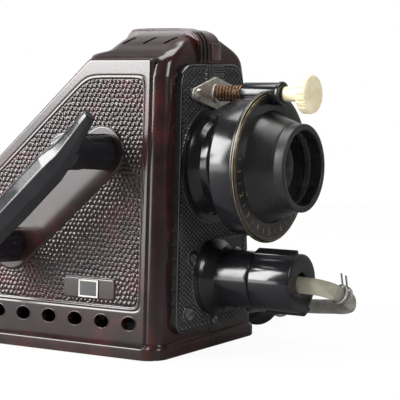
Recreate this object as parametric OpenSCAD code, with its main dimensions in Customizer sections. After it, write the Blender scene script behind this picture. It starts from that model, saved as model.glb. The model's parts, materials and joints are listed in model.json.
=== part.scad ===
// Table projector for paper pictures: a two-shell casing with a sloped back, a focusing lens on a front
// plate, a lamp and a 45 degree mirror inside, a side handle, and its cord.
// Axes: +Z up, the lens looks along -Y, and X = 0 is the joint plane of the two shells.
// Origin: on the floor, in the joint plane, 10 mm behind the front of the plinth.

/* [Casing] */
// Width of the casing at the floor, without the plinth
body_w = 118; // [116:1:120]
// How far each side leans in over its height, in degrees
lean = 3.05; // [2.8:0.05:3.3]
// Height of the cap's top
cap_z = 205; // [204:0.5:206]
// Rear wall of the casing, behind the origin
rear_y = 182; // [180:1:186]
// Wall thickness of the shells
wall = 3.5; // [3:0.25:4]
// Height of the straight face of the plinth
plinth_h = 7; // [6:0.5:8]
// Diameter of the air holes along the foot of each side
vent_d = 8.5; // [7:0.5:9.5]
// Number of air holes on each side
vent_count = 8; // [6:1:8]

/* [Front] */
// Thickness of the front plate
plate_t = 4; // [3.5:0.25:4.5]
// Height of the lens axis above the floor
lens_z = 119.4; // [118:0.2:121]
// Height of the power socket's axis
socket_z = 47; // [46:0.5:48]
// Height of the focusing spindle's axis above the lens axis
spindle_rise = 46; // [45.5:0.5:46.5]

/* [Lens] */
// Radius of the engraved ring
ring_r = 48; // [46:0.5:49]
// Radius of the lens drum
drum_r = 44.2; // [43:0.2:45]
// Outer radius of the hood at its mouth
hood_r = 27.7; // [27:0.1:28.5]
// Inner radius of the hood's mouth
mouth_r = 23.6; // [22.5:0.1:24]
// Radius of the sliding lens tube
tube_r = 27; // [26.5:0.1:27.2]
// Radial running clearance of sliding and turning fits
running_gap = 0.06; // [0.03:0.01:0.1]

/* [Focus] */
// Radius of the threaded spindle
spindle_r = 3; // [2.5:0.1:3.2]
// Pitch of the spindle's thread
thread_pitch = 2; // [1.5:0.25:2.5]
// Radius of the knob
knob_r = 12.2; // [11.4:0.2:12.6]

/* [Picture window] */
// Side of the square window in the base
window_w = 90; // [80:1:92]
// Distance of the window's centre behind the origin
window_y = 112; // [111:0.5:113]

/* [Handle] */
// Distance of the grip's centre plane from the joint plane
grip_x = 95; // [93:0.5:97]
// Radius of the handle's posts at the casing
post_r = 11.5; // [10.5:0.5:12]

/* [Cord] */
// Width of the flat cord
cord_w = 9.5; // [9:0.5:10]
// Thickness of the flat cord
cord_t = 6.5; // [6:0.5:7]
// Radius of the stored coil at the middle of its turns
coil_mid_r = 50; // [48:1:52]

/* [Hidden] */

$fn = 64;
eps = 0.01;
screw_gap = 0.05;            // radial gap of a screw in its hole

// Casing
lean_slope = tan(lean);
front_y = -8.5;              // front face of the casing
plinth_out = 1.5;            // the plinth's step in front of that face
plinth_side = 4.2;           // the plinth's step at each side
plinth_top = 9.2;            // where the plinth's bevel ends
rear_knee_z = 73.2;          // top of the upright rear wall
slope_start_y = 52.7;        // where the sloped back begins
slope_start_z = 187.9;
slope_fall = (slope_start_z - rear_knee_z) / (rear_y - slope_start_y);
edge_r = 9;                  // rounding of the upright edges
corner_steps = 4;
panel_out = 1.5;             // height of the raised side panel
panel_margin = 3;            // its distance from the sloped back
field_depth = 0.6;           // depth of the textured field in the panel
strip_half_w = 13;           // half the width of the strip over the joint
vent_z = 21.6;
first_vent_y = 13.3;
vent_pitch = 21.1;
louvre_z = 199.5;
louvre_ys = [4, 20, 36];

// Front plate, lens and focus, as distances along Y
plate_front = front_y - plate_t;
ring_front = -56;
ring_back = -52.5;
drum_back = -35.8;
hood_front = -78.8;
cone_front = -71.5;
tube_back = 2;
sleeve_front = -26;
spindle_z = lens_z + spindle_rise;
boss_back = drum_back - 0.2;
boss_front = -61.4;
boss_r = 7.2;
ferrule_front = -64.1;
hub_r = 4.7;                 // narrow rear part of the knob
hub_front = -78;
knob_front = -87;
nut_front = -15.6;

// Power inlet
socket_front = -48;
plug_front = -77.5;
socket_r = 18.4;
socket_bore = 16;
wing_tilt = 22;

// Handle
upper_post = [37, 129];
lower_post = [109, 66];
handle_angle = atan2(lower_post[1] - upper_post[1], lower_post[0] - upper_post[0]);
handle_pad_r = 16.5;

// Base, mirror and lamp
base_t = 3;
mirror_t = 3;
lamp_z = 50;
screw_spots = [[2, 62], [172, 26], [38, 172], [156, 74]];        // [Y, Z] of the screws through the joint
base_spots = [[52, 5], [52, 60], [52, 171]];                     // [X, Y] of the base screws, both sides

// Mains plug, lying on its rim with the cord end down
plug_r = 17;
plug_len = 30;
plug_tilt = 20;
plug_turn = 0;                                                   // the way its cord leaves, seen from above
plug_spot = [109, 10, plug_r * cos(plug_tilt) - 12 * sin(plug_tilt) + 0.05];
function at_plug(d) =
  plug_spot + d * [cos(plug_turn) * cos(plug_tilt), sin(plug_turn) * cos(plug_tilt), -sin(plug_tilt)];

// Cord routes: round numbers, in the order from the connector to the mains plug
cord_exit = [0, plug_front, 46];
bend_r = 19.5;
bend_y = -80.5;
cord_bend = [
  for (a = [0:18:180]) [bend_r - bend_r * cos(a), bend_y - bend_r * sin(a), 36.8 + 9.2 * cos(a)]
];
power_route = [
  [0, -66, 46], cord_exit, each cord_bend,
  [40.3, -72, 26.8], [41.1, -64, 26.2], [42, -56, 25.8], [44, -46, 25], [47, -36, 24], [51, -26, 22.8],
  [56, -17, 21.6], [61.5, -9.5, 20], [66.8, -1, 17.8], [69.4, 8, 14.4], [70, 18, 10.4], [70, 30, 6.9],
  [70, 44, 5.1], [71, 60, 4.8], [73.5, 76, 4.8], [77, 92, 4.8], [80.5, 108, 4.8],
  [83.5, 128, 4.8], [85.2, 150, 4.8]
];
tail_route = [
  [194.8, 150, 14.3], [194.6, 140, 14.2], [194, 128, 13.2], [192.6, 114, 11], [190, 100, 8.4],
  [186, 86, 6.2], [181, 72, 5], [175, 58, 4.8], [169, 44, 4.8], [163, 33.6, 4.8], [156.6, 25.2, 4.8],
  [149.6, 18.6, 4.8], [142, 14, 4.8], [134.6, 11.2, 4.9], [128, 10.2, 5.4], at_plug(14), at_plug(8),
  at_plug(0.2)
];
coil_centre = [140, 150];
coil_h = 19;

// ---- helpers ----

function unit(v) = v / norm(v);

// Arc that rounds the corner at b between a and c, as a list of points.
function corner_arc(a, b, c, r, steps) =
  let (
    u = unit(a - b), v = unit(c - b),
    half = acos(u * v) / 2,
    centre = b + unit(u + v) * r / sin(half),
    from = b + u * r / tan(half) - centre,
    to = b + v * r / tan(half) - centre,
    a0 = atan2(from[1], from[0]),
    turn = atan2(to[1], to[0]) - a0,
    sweep = turn > 180 ? turn - 360 : (turn < -180 ? turn + 360 : turn)
  )
  [for (i = [0:steps]) centre + r * [cos(a0 + sweep * i / steps), sin(a0 + sweep * i / steps)]];

// Outline with every corner rounded.
function rounded(points, r, steps = 5) =
  let (n = len(points))
  [for (i = [0:n - 1]) each corner_arc(points[(i + n - 1) % n], points[i], points[(i + 1) % n], r, steps)];

// Half of a rounded rectangle left of the joint plane, from the front round to the rear.
function half_slice(half_w, y0, y1, r) =
  let (turns = [for (i = [0:corner_steps]) 90 * i / corner_steps])
  concat(
    [[0, y0]],
    [for (a = turns) [-half_w + r - r * sin(a), y0 + r - r * cos(a)]],
    [for (a = turns) [-half_w + r - r * cos(a), y1 - r + r * sin(a)]],
    [[0, y1]]
  );

// Solid through a stack of slices, each [z, half width, front y, rear y, corner radius].
module half_loft(slices) {
  n = 2 * corner_steps + 4;
  last = len(slices) - 1;
  points = [for (s = slices) each [for (p = half_slice(s[1], s[2], s[3], s[4])) [p[0], p[1], s[0]]]];
  sides = [
    for (k = [0:last - 1]) for (i = [0:n - 1])
      let (a = k * n + i, b = k * n + (i + 1) % n) each [[a, b, b + n], [a, b + n, a + n]]
  ];
  bottom = [for (i = [n - 1:-1:0]) i];
  top = [for (i = [0:n - 1]) last * n + i];
  polyhedron(points, concat([bottom], sides, [top]), convexity = 8);
}

// Tube swept along a route with an oval section, upright where the route is level; it narrows to end_scale.
module swept(route, wide, thick, sides = 8, end_scale = 1) {
  last = len(route) - 1;
  headings = [
    for (i = [0:last]) unit(route[min(i + 1, last)] - route[max(i - 1, 0)])
  ];
  points = [
    for (i = [0:last])
      let (
        side = unit(cross(headings[i], [0, 0, 1])), up = cross(side, headings[i]),
        grow = (1 + (end_scale - 1) * i / last) / 2
      )
      each [
        for (k = [0:sides - 1])
          let (a = 360 * k / sides) route[i] + grow * (side * cos(a) * thick + up * sin(a) * wide)
      ]
  ];
  skin = [
    for (i = [0:last - 1]) for (k = [0:sides - 1])
      let (a = i * sides + k, b = i * sides + (k + 1) % sides)
      each [[a, b, b + sides], [a, b + sides, a + sides]]
  ];
  start = [for (k = [sides - 1:-1:0]) k];
  end = [for (k = [0:sides - 1]) last * sides + k];
  polyhedron(points, concat([start], skin, [end]), convexity = 6);
}

// Cylinder along Y from y0 to y1, with its axis at x and z.
module rod_y(y0, y1, r, x = 0, z = 0, r2 = undef) {
  translate([x, y0, z]) rotate([-90, 0, 0]) cylinder(h = y1 - y0, r1 = r, r2 = is_undef(r2) ? r : r2);
}

// Turned part round an axis along Y at height z: the outline is a list of [radius, y].
module turned(outline, z) {
  translate([0, 0, z]) rotate([-90, 0, 0]) rotate_extrude($fn = 96) polygon(outline);
}

// Plate drawn in X and Z, from y_front to y_back.
module plate_xz(y_front, y_back) {
  translate([0, y_back, 0]) rotate([90, 0, 0]) linear_extrude(y_back - y_front) children();
}

// Plate drawn in Y and Z, from x0 to x1.
module plate_yz(x0, x1) {
  translate([x0, 0, 0]) rotate([90, 0, 90]) linear_extrude(x1 - x0) children();
}

// Places its children on the left side wall: x = 0 is the wall's outer face, -x is outwards.
module on_left_side() {
  translate([-body_w / 2, 0, 0]) rotate([0, lean, 0]) children();
}

// Slotted screw with its head's top at the origin, pointing down -Z.
module screw(head_r, head_h, shank_r, length) {
  difference() {
    union() {
      translate([0, 0, -head_h]) cylinder(h = head_h, r1 = head_r, r2 = head_r * 0.86);
      translate([0, 0, -head_h - length]) cylinder(h = length + eps, r = shank_r);
    }
    translate([-head_r, -0.45, -head_h * 0.45]) cube([2 * head_r, 0.9, head_h]);
  }
}

// ---- casing ----

function side_half_w(z) = body_w / 2 - z * lean_slope;
function slope_y(z) = z < rear_knee_z ? rear_y : slope_start_y + (slope_start_z - z) / slope_fall;

casing_slices = [
  [0, side_half_w(0), front_y, rear_y, edge_r],
  [rear_knee_z, side_half_w(rear_knee_z), front_y, rear_y, edge_r],
  [120, side_half_w(120), front_y, slope_y(120), edge_r],
  [176, side_half_w(176), front_y, slope_y(176), edge_r],
  [184, 47.4, front_y, slope_y(184), edge_r],
  [188, 44.5, front_y, 56.5, edge_r],
  [190.5, 41, front_y, 56, edge_r],
  [193, 37, front_y + 0.5, 47.5, edge_r],
  [196, 31, front_y + 1.5, 46.5, edge_r],
  [199, 25.5, front_y + 3, 45.5, edge_r],
  [202, 18.5, front_y + 5.5, 44.5, edge_r],
  [204, 12.5, front_y + 8.5, 42.5, edge_r],
  [cap_z, 9, front_y + 12, 40, edge_r * 0.9]
];

// The cavity follows the outside one wall thickness in; the roof and the slope keep the same wall.
cavity_slices = [
  [-1, side_half_w(0) - wall, front_y + wall, rear_y - wall, edge_r - 3],
  [rear_knee_z - wall / 2, side_half_w(rear_knee_z) - wall, front_y + wall, rear_y - wall, edge_r - 3],
  [120, side_half_w(120) - wall, front_y + wall, slope_y(120) - wall * 1.5, edge_r - 3],
  [174, side_half_w(174) - wall, front_y + wall, slope_y(174) - wall * 1.5, edge_r - 3],
  [183.5, 43, front_y + wall, 50, edge_r - 3],
  [187, 38, front_y + wall, 45, edge_r - 3],
  [192, 30, front_y + wall + 1, 42.5, edge_r - 3],
  [197, 20, front_y + wall + 4, 41, edge_r - 3],
  [cap_z - wall, 11, front_y + wall + 9, 37, edge_r - 3]
];

plinth_slices = [
  [0, body_w / 2 + plinth_side, front_y - plinth_out, rear_y + 3, edge_r + 4],
  [plinth_h, body_w / 2 + plinth_side, front_y - plinth_out, rear_y + 3, edge_r + 4],
  [plinth_top, side_half_w(plinth_top) + panel_out + 0.2, front_y - 0.4, rear_y + 0.6, edge_r + 1.5]
];

// The strip over the joint, standing e proud of the front and the cap.
function strip_outline(e, foot = 184.8) = [
  [front_y - e, foot], [front_y - e, 193.5], [front_y + 1.2 - e, 199 + e * 0.4],
  [front_y + 4.6 - e * 0.5, 202.6 + e], [front_y + 9.5, cap_z - 0.4 + e], [front_y + 13, cap_z + e],
  [38, cap_z + e], [43 + e * 0.5, 203.2 + e * 0.8],
  [46 + e, 199.5], [47.4 + e, 194], [49.5 + e, 190.2], [40, foot + 2]
];

// Outline on the side wall whose upper rear corner is cut off parallel to the sloped back, drop below it.
function outline_under_slope(front, back, foot, top, drop) =
  let (cut_z = slope_start_z - drop)
  [
    [front, foot], [back, foot], [back, cut_z - slope_fall * (back - slope_start_y)],
    [slope_start_y + (cut_z - top) / slope_fall, top], [front, top]
  ];

function panel_outline() =
  outline_under_slope(1.1, rear_y - panel_margin, plinth_top - 0.6, 187.5, panel_margin);

function field_outline() =
  outline_under_slope(6.2, rear_y - 12, 30.5, 176.2, 13.8);

module field_shape() {
  polygon(rounded(field_outline(), 5));
}

// Smooth pad with round ends under the handle's posts.
module handle_pad_shape() {
  steps = 20;
  polygon([
    for (end = [[lower_post, -90], [upper_post, 90]], i = [0:steps])
      let (a = handle_angle + end[1] + 180 * i / steps) end[0] + handle_pad_r * [cos(a), sin(a)]
  ]);
}

module label_pad_shape() {
  polygon(rounded([[24.5, 34.8], [65.5, 34.8], [65.5, 48.6], [24.5, 48.6]], 3));
}

module side_panel(with_handle_pad) {
  on_left_side() {
    difference() {
      plate_yz(-panel_out, 5) polygon(rounded(panel_outline(), 2, 3));
      plate_yz(-panel_out - 1, -panel_out + field_depth) field_shape();
    }
    plate_yz(-panel_out - 0.1, 0.5) label_pad_shape();
    if (with_handle_pad) plate_yz(-panel_out - 0.8, 0.5) handle_pad_shape();
  }
}

// Slanted louvre in the cap, cut square to its curved side.
module louvre(y) {
  translate([-25.2, y, louvre_z]) rotate([0, -40, 0]) rotate([0, 0, 62]) {
    translate([0, 0, -6]) linear_extrude(9)
      polygon(rounded([[-1.3, -5.2], [1.3, -5.2], [1.3, 5.2], [-1.3, 5.2]], 1.25));
  }
}

module left_half(with_handle_pad) {
  difference() {
    union() {
      half_loft(casing_slices);
      half_loft(plinth_slices);
      side_panel(with_handle_pad);
      plate_yz(-strip_half_w, 0) polygon(strip_outline(1));
    }
    half_loft(cavity_slices);
    // the base plate's seat
    translate([-body_w / 2 - 0.4, front_y + 2.3, -1])
      cube([body_w / 2 + 1, rear_y - front_y - 4.6, base_t + 1.1]);
    // the joint plane is left clean
    translate([0, -30, -1]) cube([20, 260, 240]);
    for (k = [0:vent_count - 1]) {
      translate([-70, first_vent_y + k * vent_pitch, vent_z]) rotate([0, 90, 0]) cylinder(h = 20, d = vent_d);
    }
    for (y = louvre_ys) louvre(y);
    // openings for the lens tube, the lamp socket and the spindle
    rod_y(front_y - 3, front_y + 8, 36.5, 0, lens_z);
    rod_y(front_y - 3, front_y + 8, 21, 0, socket_z);
    rod_y(front_y - 3, front_y + 16, 5, 0, spindle_z);
    for (s = [-1, 1], p = front_holes) rod_y(front_y - 3, front_y + 8, p[2] + screw_gap, s * p[0], p[1]);
  }
  // bosses for the screws through the joint
  for (p = screw_spots) joint_boss(p);
  for (p = base_spots) base_boss(p);
  // ribs that carry the mirror and the heat baffle
  mirror_frame() translate([-50.9, -42, -3]) cube([9.4, 84, 2.9]);
  translate([-side_half_w(80) + 1.5, -2, 80]) cube([8, 66, 2.9]);
}

// Hollow boss along X for a screw that pulls the halves together.
module joint_boss(p) {
  inside_x = side_half_w(p[1]) - 1.5;
  translate([-inside_x, p[0], p[1]]) rotate([0, 90, 0]) difference() {
    cylinder(h = inside_x, r = 4.5, $fn = 40);
    translate([0, 0, inside_x - 30]) cylinder(h = 31, r = 3.05, $fn = 40);
  }
}

// Upright boss for a base screw.
module base_boss(p) {
  difference() {
    translate([-p[0], p[1], base_t + 0.1]) cylinder(h = 13, r = 4.2, $fn = 40);
    translate([-p[0], p[1], base_t]) cylinder(h = 10, r = 1.5 + screw_gap, $fn = 32);
  }
}

module left_shell() {
  color([0.20, 0.06, 0.05]) difference() {
    union() {
      left_half(true);
      for (x = [0:2]) plate_yz(-strip_half_w + 0.4 + x * 4.4, -strip_half_w + 3 + x * 4.4)
        difference() {
          polygon(strip_outline(2));
          polygon(strip_outline(0.5, 176));
        }
    }
    on_left_side() for (p = [upper_post, lower_post])
      translate([-4, p[0], p[1]]) rotate([0, 90, 0]) cylinder(h = 12, r = 2 + screw_gap, $fn = 32);
  }
}

module right_shell() {
  color([0.20, 0.06, 0.05]) difference() {
    union() {
      mirror([1, 0, 0]) left_half(false);
      plate_yz(1, 12) polygon([[front_y - 2.2, 186], [front_y - 2.2, 198], [front_y, 199], [front_y, 186]]);
    }
    // screws enter from this side: through holes and head seats
    for (p = screw_spots) translate([0, p[0], p[1]]) rotate([0, 90, 0]) {
      translate([0, 0, -1]) cylinder(h = 80, r = 1.6 + screw_gap, $fn = 32);
      translate([0, 0, side_half_w(p[1]) - 2.2]) cylinder(h = 20, r = 3.6, $fn = 32);
    }
  }
}

module shell_screws() {
  color([0.7, 0.68, 0.62]) for (p = screw_spots)
    translate([side_half_w(p[1]) - 0.1, p[0], p[1]]) rotate([0, 90, 0])
      screw(3.4, 2, 1.6, side_half_w(p[1]) + 8);
}

module shell_inserts() {
  color([0.75, 0.6, 0.25]) for (p = screw_spots)
    translate([-20, p[0], p[1]]) rotate([0, 90, 0]) difference() {
      cylinder(h = 19.5, r = 3, $fn = 40);
      translate([0, 0, 8]) cylinder(h = 13, r = 1.6 + screw_gap, $fn = 32);
    }
}

// ---- front plate ----

plate_low = [45.2, 14];      // half width and height of the plate's lower corners
plate_high = [37.9, 184.5];
plate_screw_spots = [[30, 26]];
socket_screw_spots = [for (a = [150, 270, 30]) [28.5 * cos(a), socket_z + 28.5 * sin(a)]];

// [x, z, radius] of the screw holes through the casing's front wall
front_holes = concat(
  [for (p = plate_screw_spots) [p[0], p[1], 2]],
  [for (p = socket_screw_spots) [p[0], p[1], 1.6]],
  [[21, spindle_z, 1.6]]
);

module plate_shape(inset = 0, low_r = 9, high_r = 15) {
  corners = [
    [-plate_low[0] + inset, plate_low[1] + inset], [plate_low[0] - inset, plate_low[1] + inset],
    [plate_high[0] - inset, plate_high[1] - inset], [-plate_high[0] + inset, plate_high[1] - inset]
  ];
  polygon([
    for (i = [0:3])
      let (r = i < 2 ? low_r : high_r)
      each corner_arc(corners[(i + 3) % 4], corners[i], corners[(i + 1) % 4], r - inset, 6)
  ]);
}

module front_plate() {
  color([0.05, 0.05, 0.055]) difference() {
    union() {
      difference() {
        plate_xz(plate_front, front_y) plate_shape();
        plate_xz(plate_front - 1, plate_front + 0.7) plate_shape(2.6);
      }
      // smooth pad round the power socket
      rod_y(plate_front - 2.6, front_y - 1, 24.8, 0, socket_z);
      translate([0, plate_front - 2.6, socket_z - 24.8]) cube([30, 5, 49.6]);
      // seat of the lens sleeve
      rod_y(plate_front, front_y - 1, 35.2, 0, lens_z);
    }
    rod_y(plate_front - 5, front_y + 1, 30.1, 0, lens_z);
    rod_y(plate_front - 5, front_y + 1, 18.9, 0, socket_z);
    rod_y(plate_front - 5, front_y + 1, 4, 0, spindle_z);
    for (s = [-1, 1], p = plate_screw_spots) {
      rod_y(plate_front - 5, front_y + 1, 2 + screw_gap, s * p[0], p[1]);
      rod_y(plate_front - 5, plate_front + 0.7, 5, s * p[0], p[1]);
    }
    for (p = socket_screw_spots) rod_y(plate_front - 5, front_y + 1, 1.6 + screw_gap, p[0], p[1]);
    for (s = [-1, 1]) rod_y(plate_front - 5, front_y + 1, 1.6 + screw_gap, s * 21, spindle_z);
  }
}

// Screw of the front: its head stands on the face at y and its shank goes back along +Y.
module front_screw(x, z, y, head_r, head_h, shank_r, length, turn = 20) {
  translate([x, y - head_h, z]) rotate([90, turn, 0]) screw(head_r, head_h, shank_r, length);
}

module plate_screws() {
  color([0.6, 0.59, 0.56]) for (s = [-1, 1], p = plate_screw_spots)
    front_screw(s * p[0], p[1], plate_front + 0.7, 4.3, 2.2, 2, plate_t + wall + 2, 20 * s);
}

module lens_sleeve() {
  color([0.05, 0.05, 0.05]) turned([
    [tube_r + running_gap, sleeve_front], [28.6, sleeve_front], [29, sleeve_front + 1], [29, -20],
    [30.4, -16],
    [33, plate_front - 0.8], [33, plate_front], [30, plate_front], [30, front_y + 6.5],
    [tube_r + running_gap, front_y + 6.5]
  ], lens_z);
}

module sleeve_nut() {
  color([0.3, 0.3, 0.3]) turned([
    [30.05, front_y + 0.1], [35.5, front_y + 0.1], [35.5, front_y + 4], [30.05, front_y + 4]
  ], lens_z);
}

// ---- lens ----

module lens_drum() {
  color([0.05, 0.05, 0.05]) difference() {
    union() {
      turned([
        [24.5, tube_back], [24.5, ring_back], [tube_r, ring_back], [tube_r, drum_back - 3],
        [drum_r - 3, drum_back - 3], [drum_r - 3, ring_back], [drum_r - 0.6, ring_back],
        [drum_r, ring_back + 0.8], [drum_r, drum_back - 1.2],
        [drum_r - 1.2, drum_back], [tube_r, drum_back], [tube_r, tube_back]
      ], lens_z);
      rod_y(boss_front, boss_back, boss_r, 0, spindle_z);
    }
    rod_y(boss_front - 1, boss_back + 1, spindle_r + running_gap, 0, spindle_z);
  }
}

module engraved_ring() {
  color([0.07, 0.07, 0.07]) difference() {
    turned([
      [35.4, ring_back], [ring_r - 0.4, ring_back], [ring_r, ring_back - 0.4], [ring_r, ring_front + 0.5],
      [ring_r - 0.5, ring_front], [35.4, ring_front]
    ], lens_z);
    rod_y(ring_front - 1, ring_back + 1, boss_r + 0.5, 0, spindle_z);
    // the ring is cut open above the boss
    translate([-boss_r - 0.5, ring_front - 1, spindle_z]) cube([2 * boss_r + 1, 6, 10]);
  }
}

module lens_hood() {
  color([0.04, 0.04, 0.04]) turned([
    [24.5, ring_back - 0.05], [35.2, ring_back - 0.05], [35.2, ring_front + 0.4], [34.6, ring_front - 0.2],
    [28.6, cone_front],
    [hood_r, cone_front - 0.6], [hood_r, hood_front + 1], [hood_r - 1, hood_front], [mouth_r + 1, hood_front],
    [mouth_r, hood_front + 1], [mouth_r, -70.5], [24.5, -70.5]
  ], lens_z);
}

// Glass round the lens axis between two spherical caps; each face is given as [edge y, middle y].
module lens_glass(edge_r, front_face, rear_face, steps = 10) {
  curve = function (f) [
    for (i = [0:steps]) let (part = i / steps) [edge_r * part, f[1] + (f[0] - f[1]) * part * part]
  ];
  rear = curve(rear_face);
  turned(concat(curve(front_face), [for (i = [steps:-1:0]) rear[i]]), lens_z);
}

module front_lens() {
  color([0.75, 0.85, 0.85, 0.4]) lens_glass(24.4, [-66, -69.2], [-62, -58.5]);
}

module rear_lens() {
  color([0.75, 0.85, 0.85, 0.4]) lens_glass(24.4, [-29, -30.5], [-26, -22]);
}

module front_lens_ring() {
  color([0.06, 0.06, 0.06]) turned([[22.6, -70.4], [24.4, -70.4], [24.4, -66.1], [22.6, -66.8]], lens_z);
}

module lens_spacer() {
  color([0.08, 0.08, 0.08]) turned([[23, -61.4], [24.4, -61.9], [24.4, -29.1], [23, -29.3]], lens_z);
}

module rear_lens_ring() {
  color([0.5, 0.42, 0.2]) turned([[22.4, -25.2], [24.4, -25.9], [24.4, -21], [22.4, -21]], lens_z);
}

// ---- focusing gear ----

module focus_nut_plate() {
  color([0.78, 0.76, 0.72]) translate([0, 0, spindle_z]) difference() {
    union() {
      plate_xz(plate_front - 2.2, plate_front + 0.65) hull() {
        for (s = [-1, 1]) {
          translate([s * 24.5, 0]) circle(r = 3.8, $fn = 32);
          translate([0, s * 7.2]) circle(r = 3.2, $fn = 32);
        }
      }
      rod_y(nut_front, plate_front, 6.2);
    }
    rod_y(nut_front - 1, front_y + 2, spindle_r + running_gap);
    for (s = [-1, 1]) rod_y(-20, front_y, 1.6 + screw_gap, s * 21);
  }
}

module nut_plate_screws() {
  color([0.72, 0.7, 0.66]) for (s = [-1, 1])
    front_screw(s * 21, spindle_z, plate_front - 2.2, 3.4, 1.8, 1.6, plate_t + wall + 4, 30);
}

module focus_spindle() {
  thread_back = 10;
  thread_front = -27;
  count = floor((thread_back - thread_front) / thread_pitch);
  color([0.62, 0.6, 0.56]) turned(concat(
    [[0, thread_back + 1], [0, knob_front + 6], [2.4, knob_front + 6], [2.4, ferrule_front - 0.05],
     [spindle_r, ferrule_front - 0.05],
     [spindle_r, thread_front]],
    [for (k = [0:count - 1]) let (y = thread_front + k * thread_pitch) each [
      [spindle_r - 0.7, y + thread_pitch * 0.4], [spindle_r, y + thread_pitch * 0.8],
      [spindle_r, y + thread_pitch]
    ]],
    [[spindle_r - 0.8, thread_back + 1]]
  ), spindle_z);
}

module spindle_clip() {
  color([0.5, 0.5, 0.5]) turned([
    [2.45, ferrule_front - 0.9], [4.4, ferrule_front - 0.9], [4.4, ferrule_front - 0.1],
    [2.45, ferrule_front - 0.1]
  ], spindle_z);
}

module focus_spring() {
  turns = 8;
  steps = 12;
  wire_r = 0.6;
  coil_r = 4.5;
  run = boss_back - nut_front + 2 * wire_r + 0.1;
  ring = 6;
  last = turns * steps;
  centres = [for (i = [0:last]) [
    coil_r * cos(360 * i / steps),
    nut_front - wire_r - 0.05 + run * i / last,
    spindle_z + coil_r * sin(360 * i / steps)
  ]];
  points = [
    for (i = [0:last])
      let (outward = [cos(360 * i / steps), 0, sin(360 * i / steps)])
      each [for (k = [0:ring - 1]) centres[i] + outward * wire_r * cos(60 * k) + [0, wire_r * sin(60 * k), 0]]
  ];
  skin = [
    for (i = [0:last - 1]) for (k = [0:ring - 1])
      let (a = i * ring + k, b = i * ring + (k + 1) % ring) each [[a, b + ring, b], [a, a + ring, b + ring]]
  ];
  start = [for (k = [0:ring - 1]) k];
  end = [for (k = [ring - 1:-1:0]) last * ring + k];
  color([0.72, 0.42, 0.25])
    polyhedron(points, concat([start], skin, [end]), convexity = 10);
}

module boss_ferrule() {
  color([0.7, 0.68, 0.62]) turned([
    [spindle_r + running_gap, boss_front - 0.05], [boss_r + 0.6, boss_front - 0.05],
    [boss_r + 0.6, ferrule_front + 0.6], [boss_r, ferrule_front],
    [spindle_r + running_gap, ferrule_front]
  ], spindle_z);
}

module focus_knob() {
  back = ferrule_front - 1;
  color([0.90, 0.86, 0.72]) difference() {
    turned([
      [2.45, back], [hub_r, back], [hub_r, hub_front], [knob_r - 1.2, hub_front], [knob_r, hub_front - 1.2],
      [knob_r, knob_front + 3.4], [knob_r - 1.2, knob_front + 1.6], [knob_r - 4, knob_front + 0.4],
      [knob_r - 7, knob_front],
      [0, knob_front], [0, knob_front + 5.95], [2.45, knob_front + 5.95]
    ], spindle_z);
    for (k = [0:17]) translate([0, 0, spindle_z]) rotate([0, k * 20, 0]) translate([knob_r + 0.9, 0, 0])
      rod_y(knob_front + 4, hub_front + 1, 1.5);
    translate([0, back - 3, spindle_z]) cylinder(h = hub_r + 1, r = 1.3, $fn = 32);
  }
}

module knob_screw() {
  color([0.55, 0.54, 0.5])
    translate([0, ferrule_front - 4, spindle_z + 2.45]) cylinder(h = hub_r - 2.6, r = 1.25, $fn = 32);
}

// ---- power inlet and cord connector ----

module socket_housing() {
  color([0.05, 0.05, 0.055]) turned([
    [socket_bore, socket_front + 0.05], [socket_r - 0.8, socket_front + 0.05], [socket_r, socket_front + 0.9],
    [socket_r, -23.5], [socket_r + 1.4, -20.6], [22.4, -17.4], [24.2, -16.2], [24.2, plate_front - 2.65],
    [18.8, plate_front - 2.65], [18.8, front_y + 3],
    [socket_bore, front_y + 3]
  ], socket_z);
}

module pin_carrier() {
  color([0.75, 0.72, 0.65]) difference() {
    rod_y(-14, front_y + 3, socket_bore - 0.05, 0, socket_z);
    for (s = [-1, 1]) rod_y(-15, front_y + 4, 2.4 + screw_gap, s * 8, socket_z);
  }
}

module contact_pins() {
  color([0.78, 0.62, 0.28]) for (s = [-1, 1]) {
    rod_y(-32, -2, 2.4, s * 8, socket_z);
    translate([s * 8, -33, socket_z]) rotate([-90, 0, 0]) cylinder(h = 1 + eps, r1 = 1.6, r2 = 2.4);
  }
}

module socket_screws() {
  color([0.6, 0.59, 0.56]) for (p = socket_screw_spots) {
    seat = p[0] > 20 ? plate_front - 2.6 : plate_front + 0.7;
    front_screw(p[0], p[1], seat, 3, 1.8, 1.6, plate_t + wall + 1, 35);
  }
}

// Flat finger wing on the connector, standing out along +Z before it is tilted.
module finger_wing() {
  translate([-4, plug_front + 0.1, 16.5]) cube([8, socket_front - plug_front - 1.1, 5.3]);
}

module plug_body() {
  color([0.05, 0.05, 0.055]) translate([0, 0, socket_z]) difference() {
    union() {
      turned([
        [0, socket_front - 0.05], [socket_r + 0.2, socket_front - 0.05], [socket_r + 0.2, plug_front + 1.6],
        [socket_r - 1.6, plug_front],
        [0, plug_front]
      ], 0);
      for (turn = [0, 180]) rotate([0, turn - wing_tilt, 0]) finger_wing();
      rod_y(socket_front - 1, -14.4, socket_bore - 0.3);
    }
    for (s = [-1, 1]) rod_y(-46, -14, 4.25, s * 8);
    rod_y(plug_front - 1, -66, 6.6, 0, cord_exit[2] - socket_z);
  }
}

module plug_contacts() {
  color([0.78, 0.62, 0.28]) for (s = [-1, 1]) difference() {
    rod_y(-45.9, -16, 4.2, s * 8, socket_z);
    rod_y(-43, -15, 2.4 + screw_gap, s * 8, socket_z);
  }
}

// Tapered sleeve round the first stretch of the cord.
module cord_sleeve() {
  color([0.85, 0.80, 0.66]) {
    difference() {
      swept([[0, -67, cord_exit[2]], for (i = [1:5]) power_route[i]], cord_w + 3, cord_t + 3, 12, 0.86);
      swept([for (i = [0:6]) power_route[i]], cord_w + 0.5, cord_t + 0.5, 12);
    }
  }
}

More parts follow.
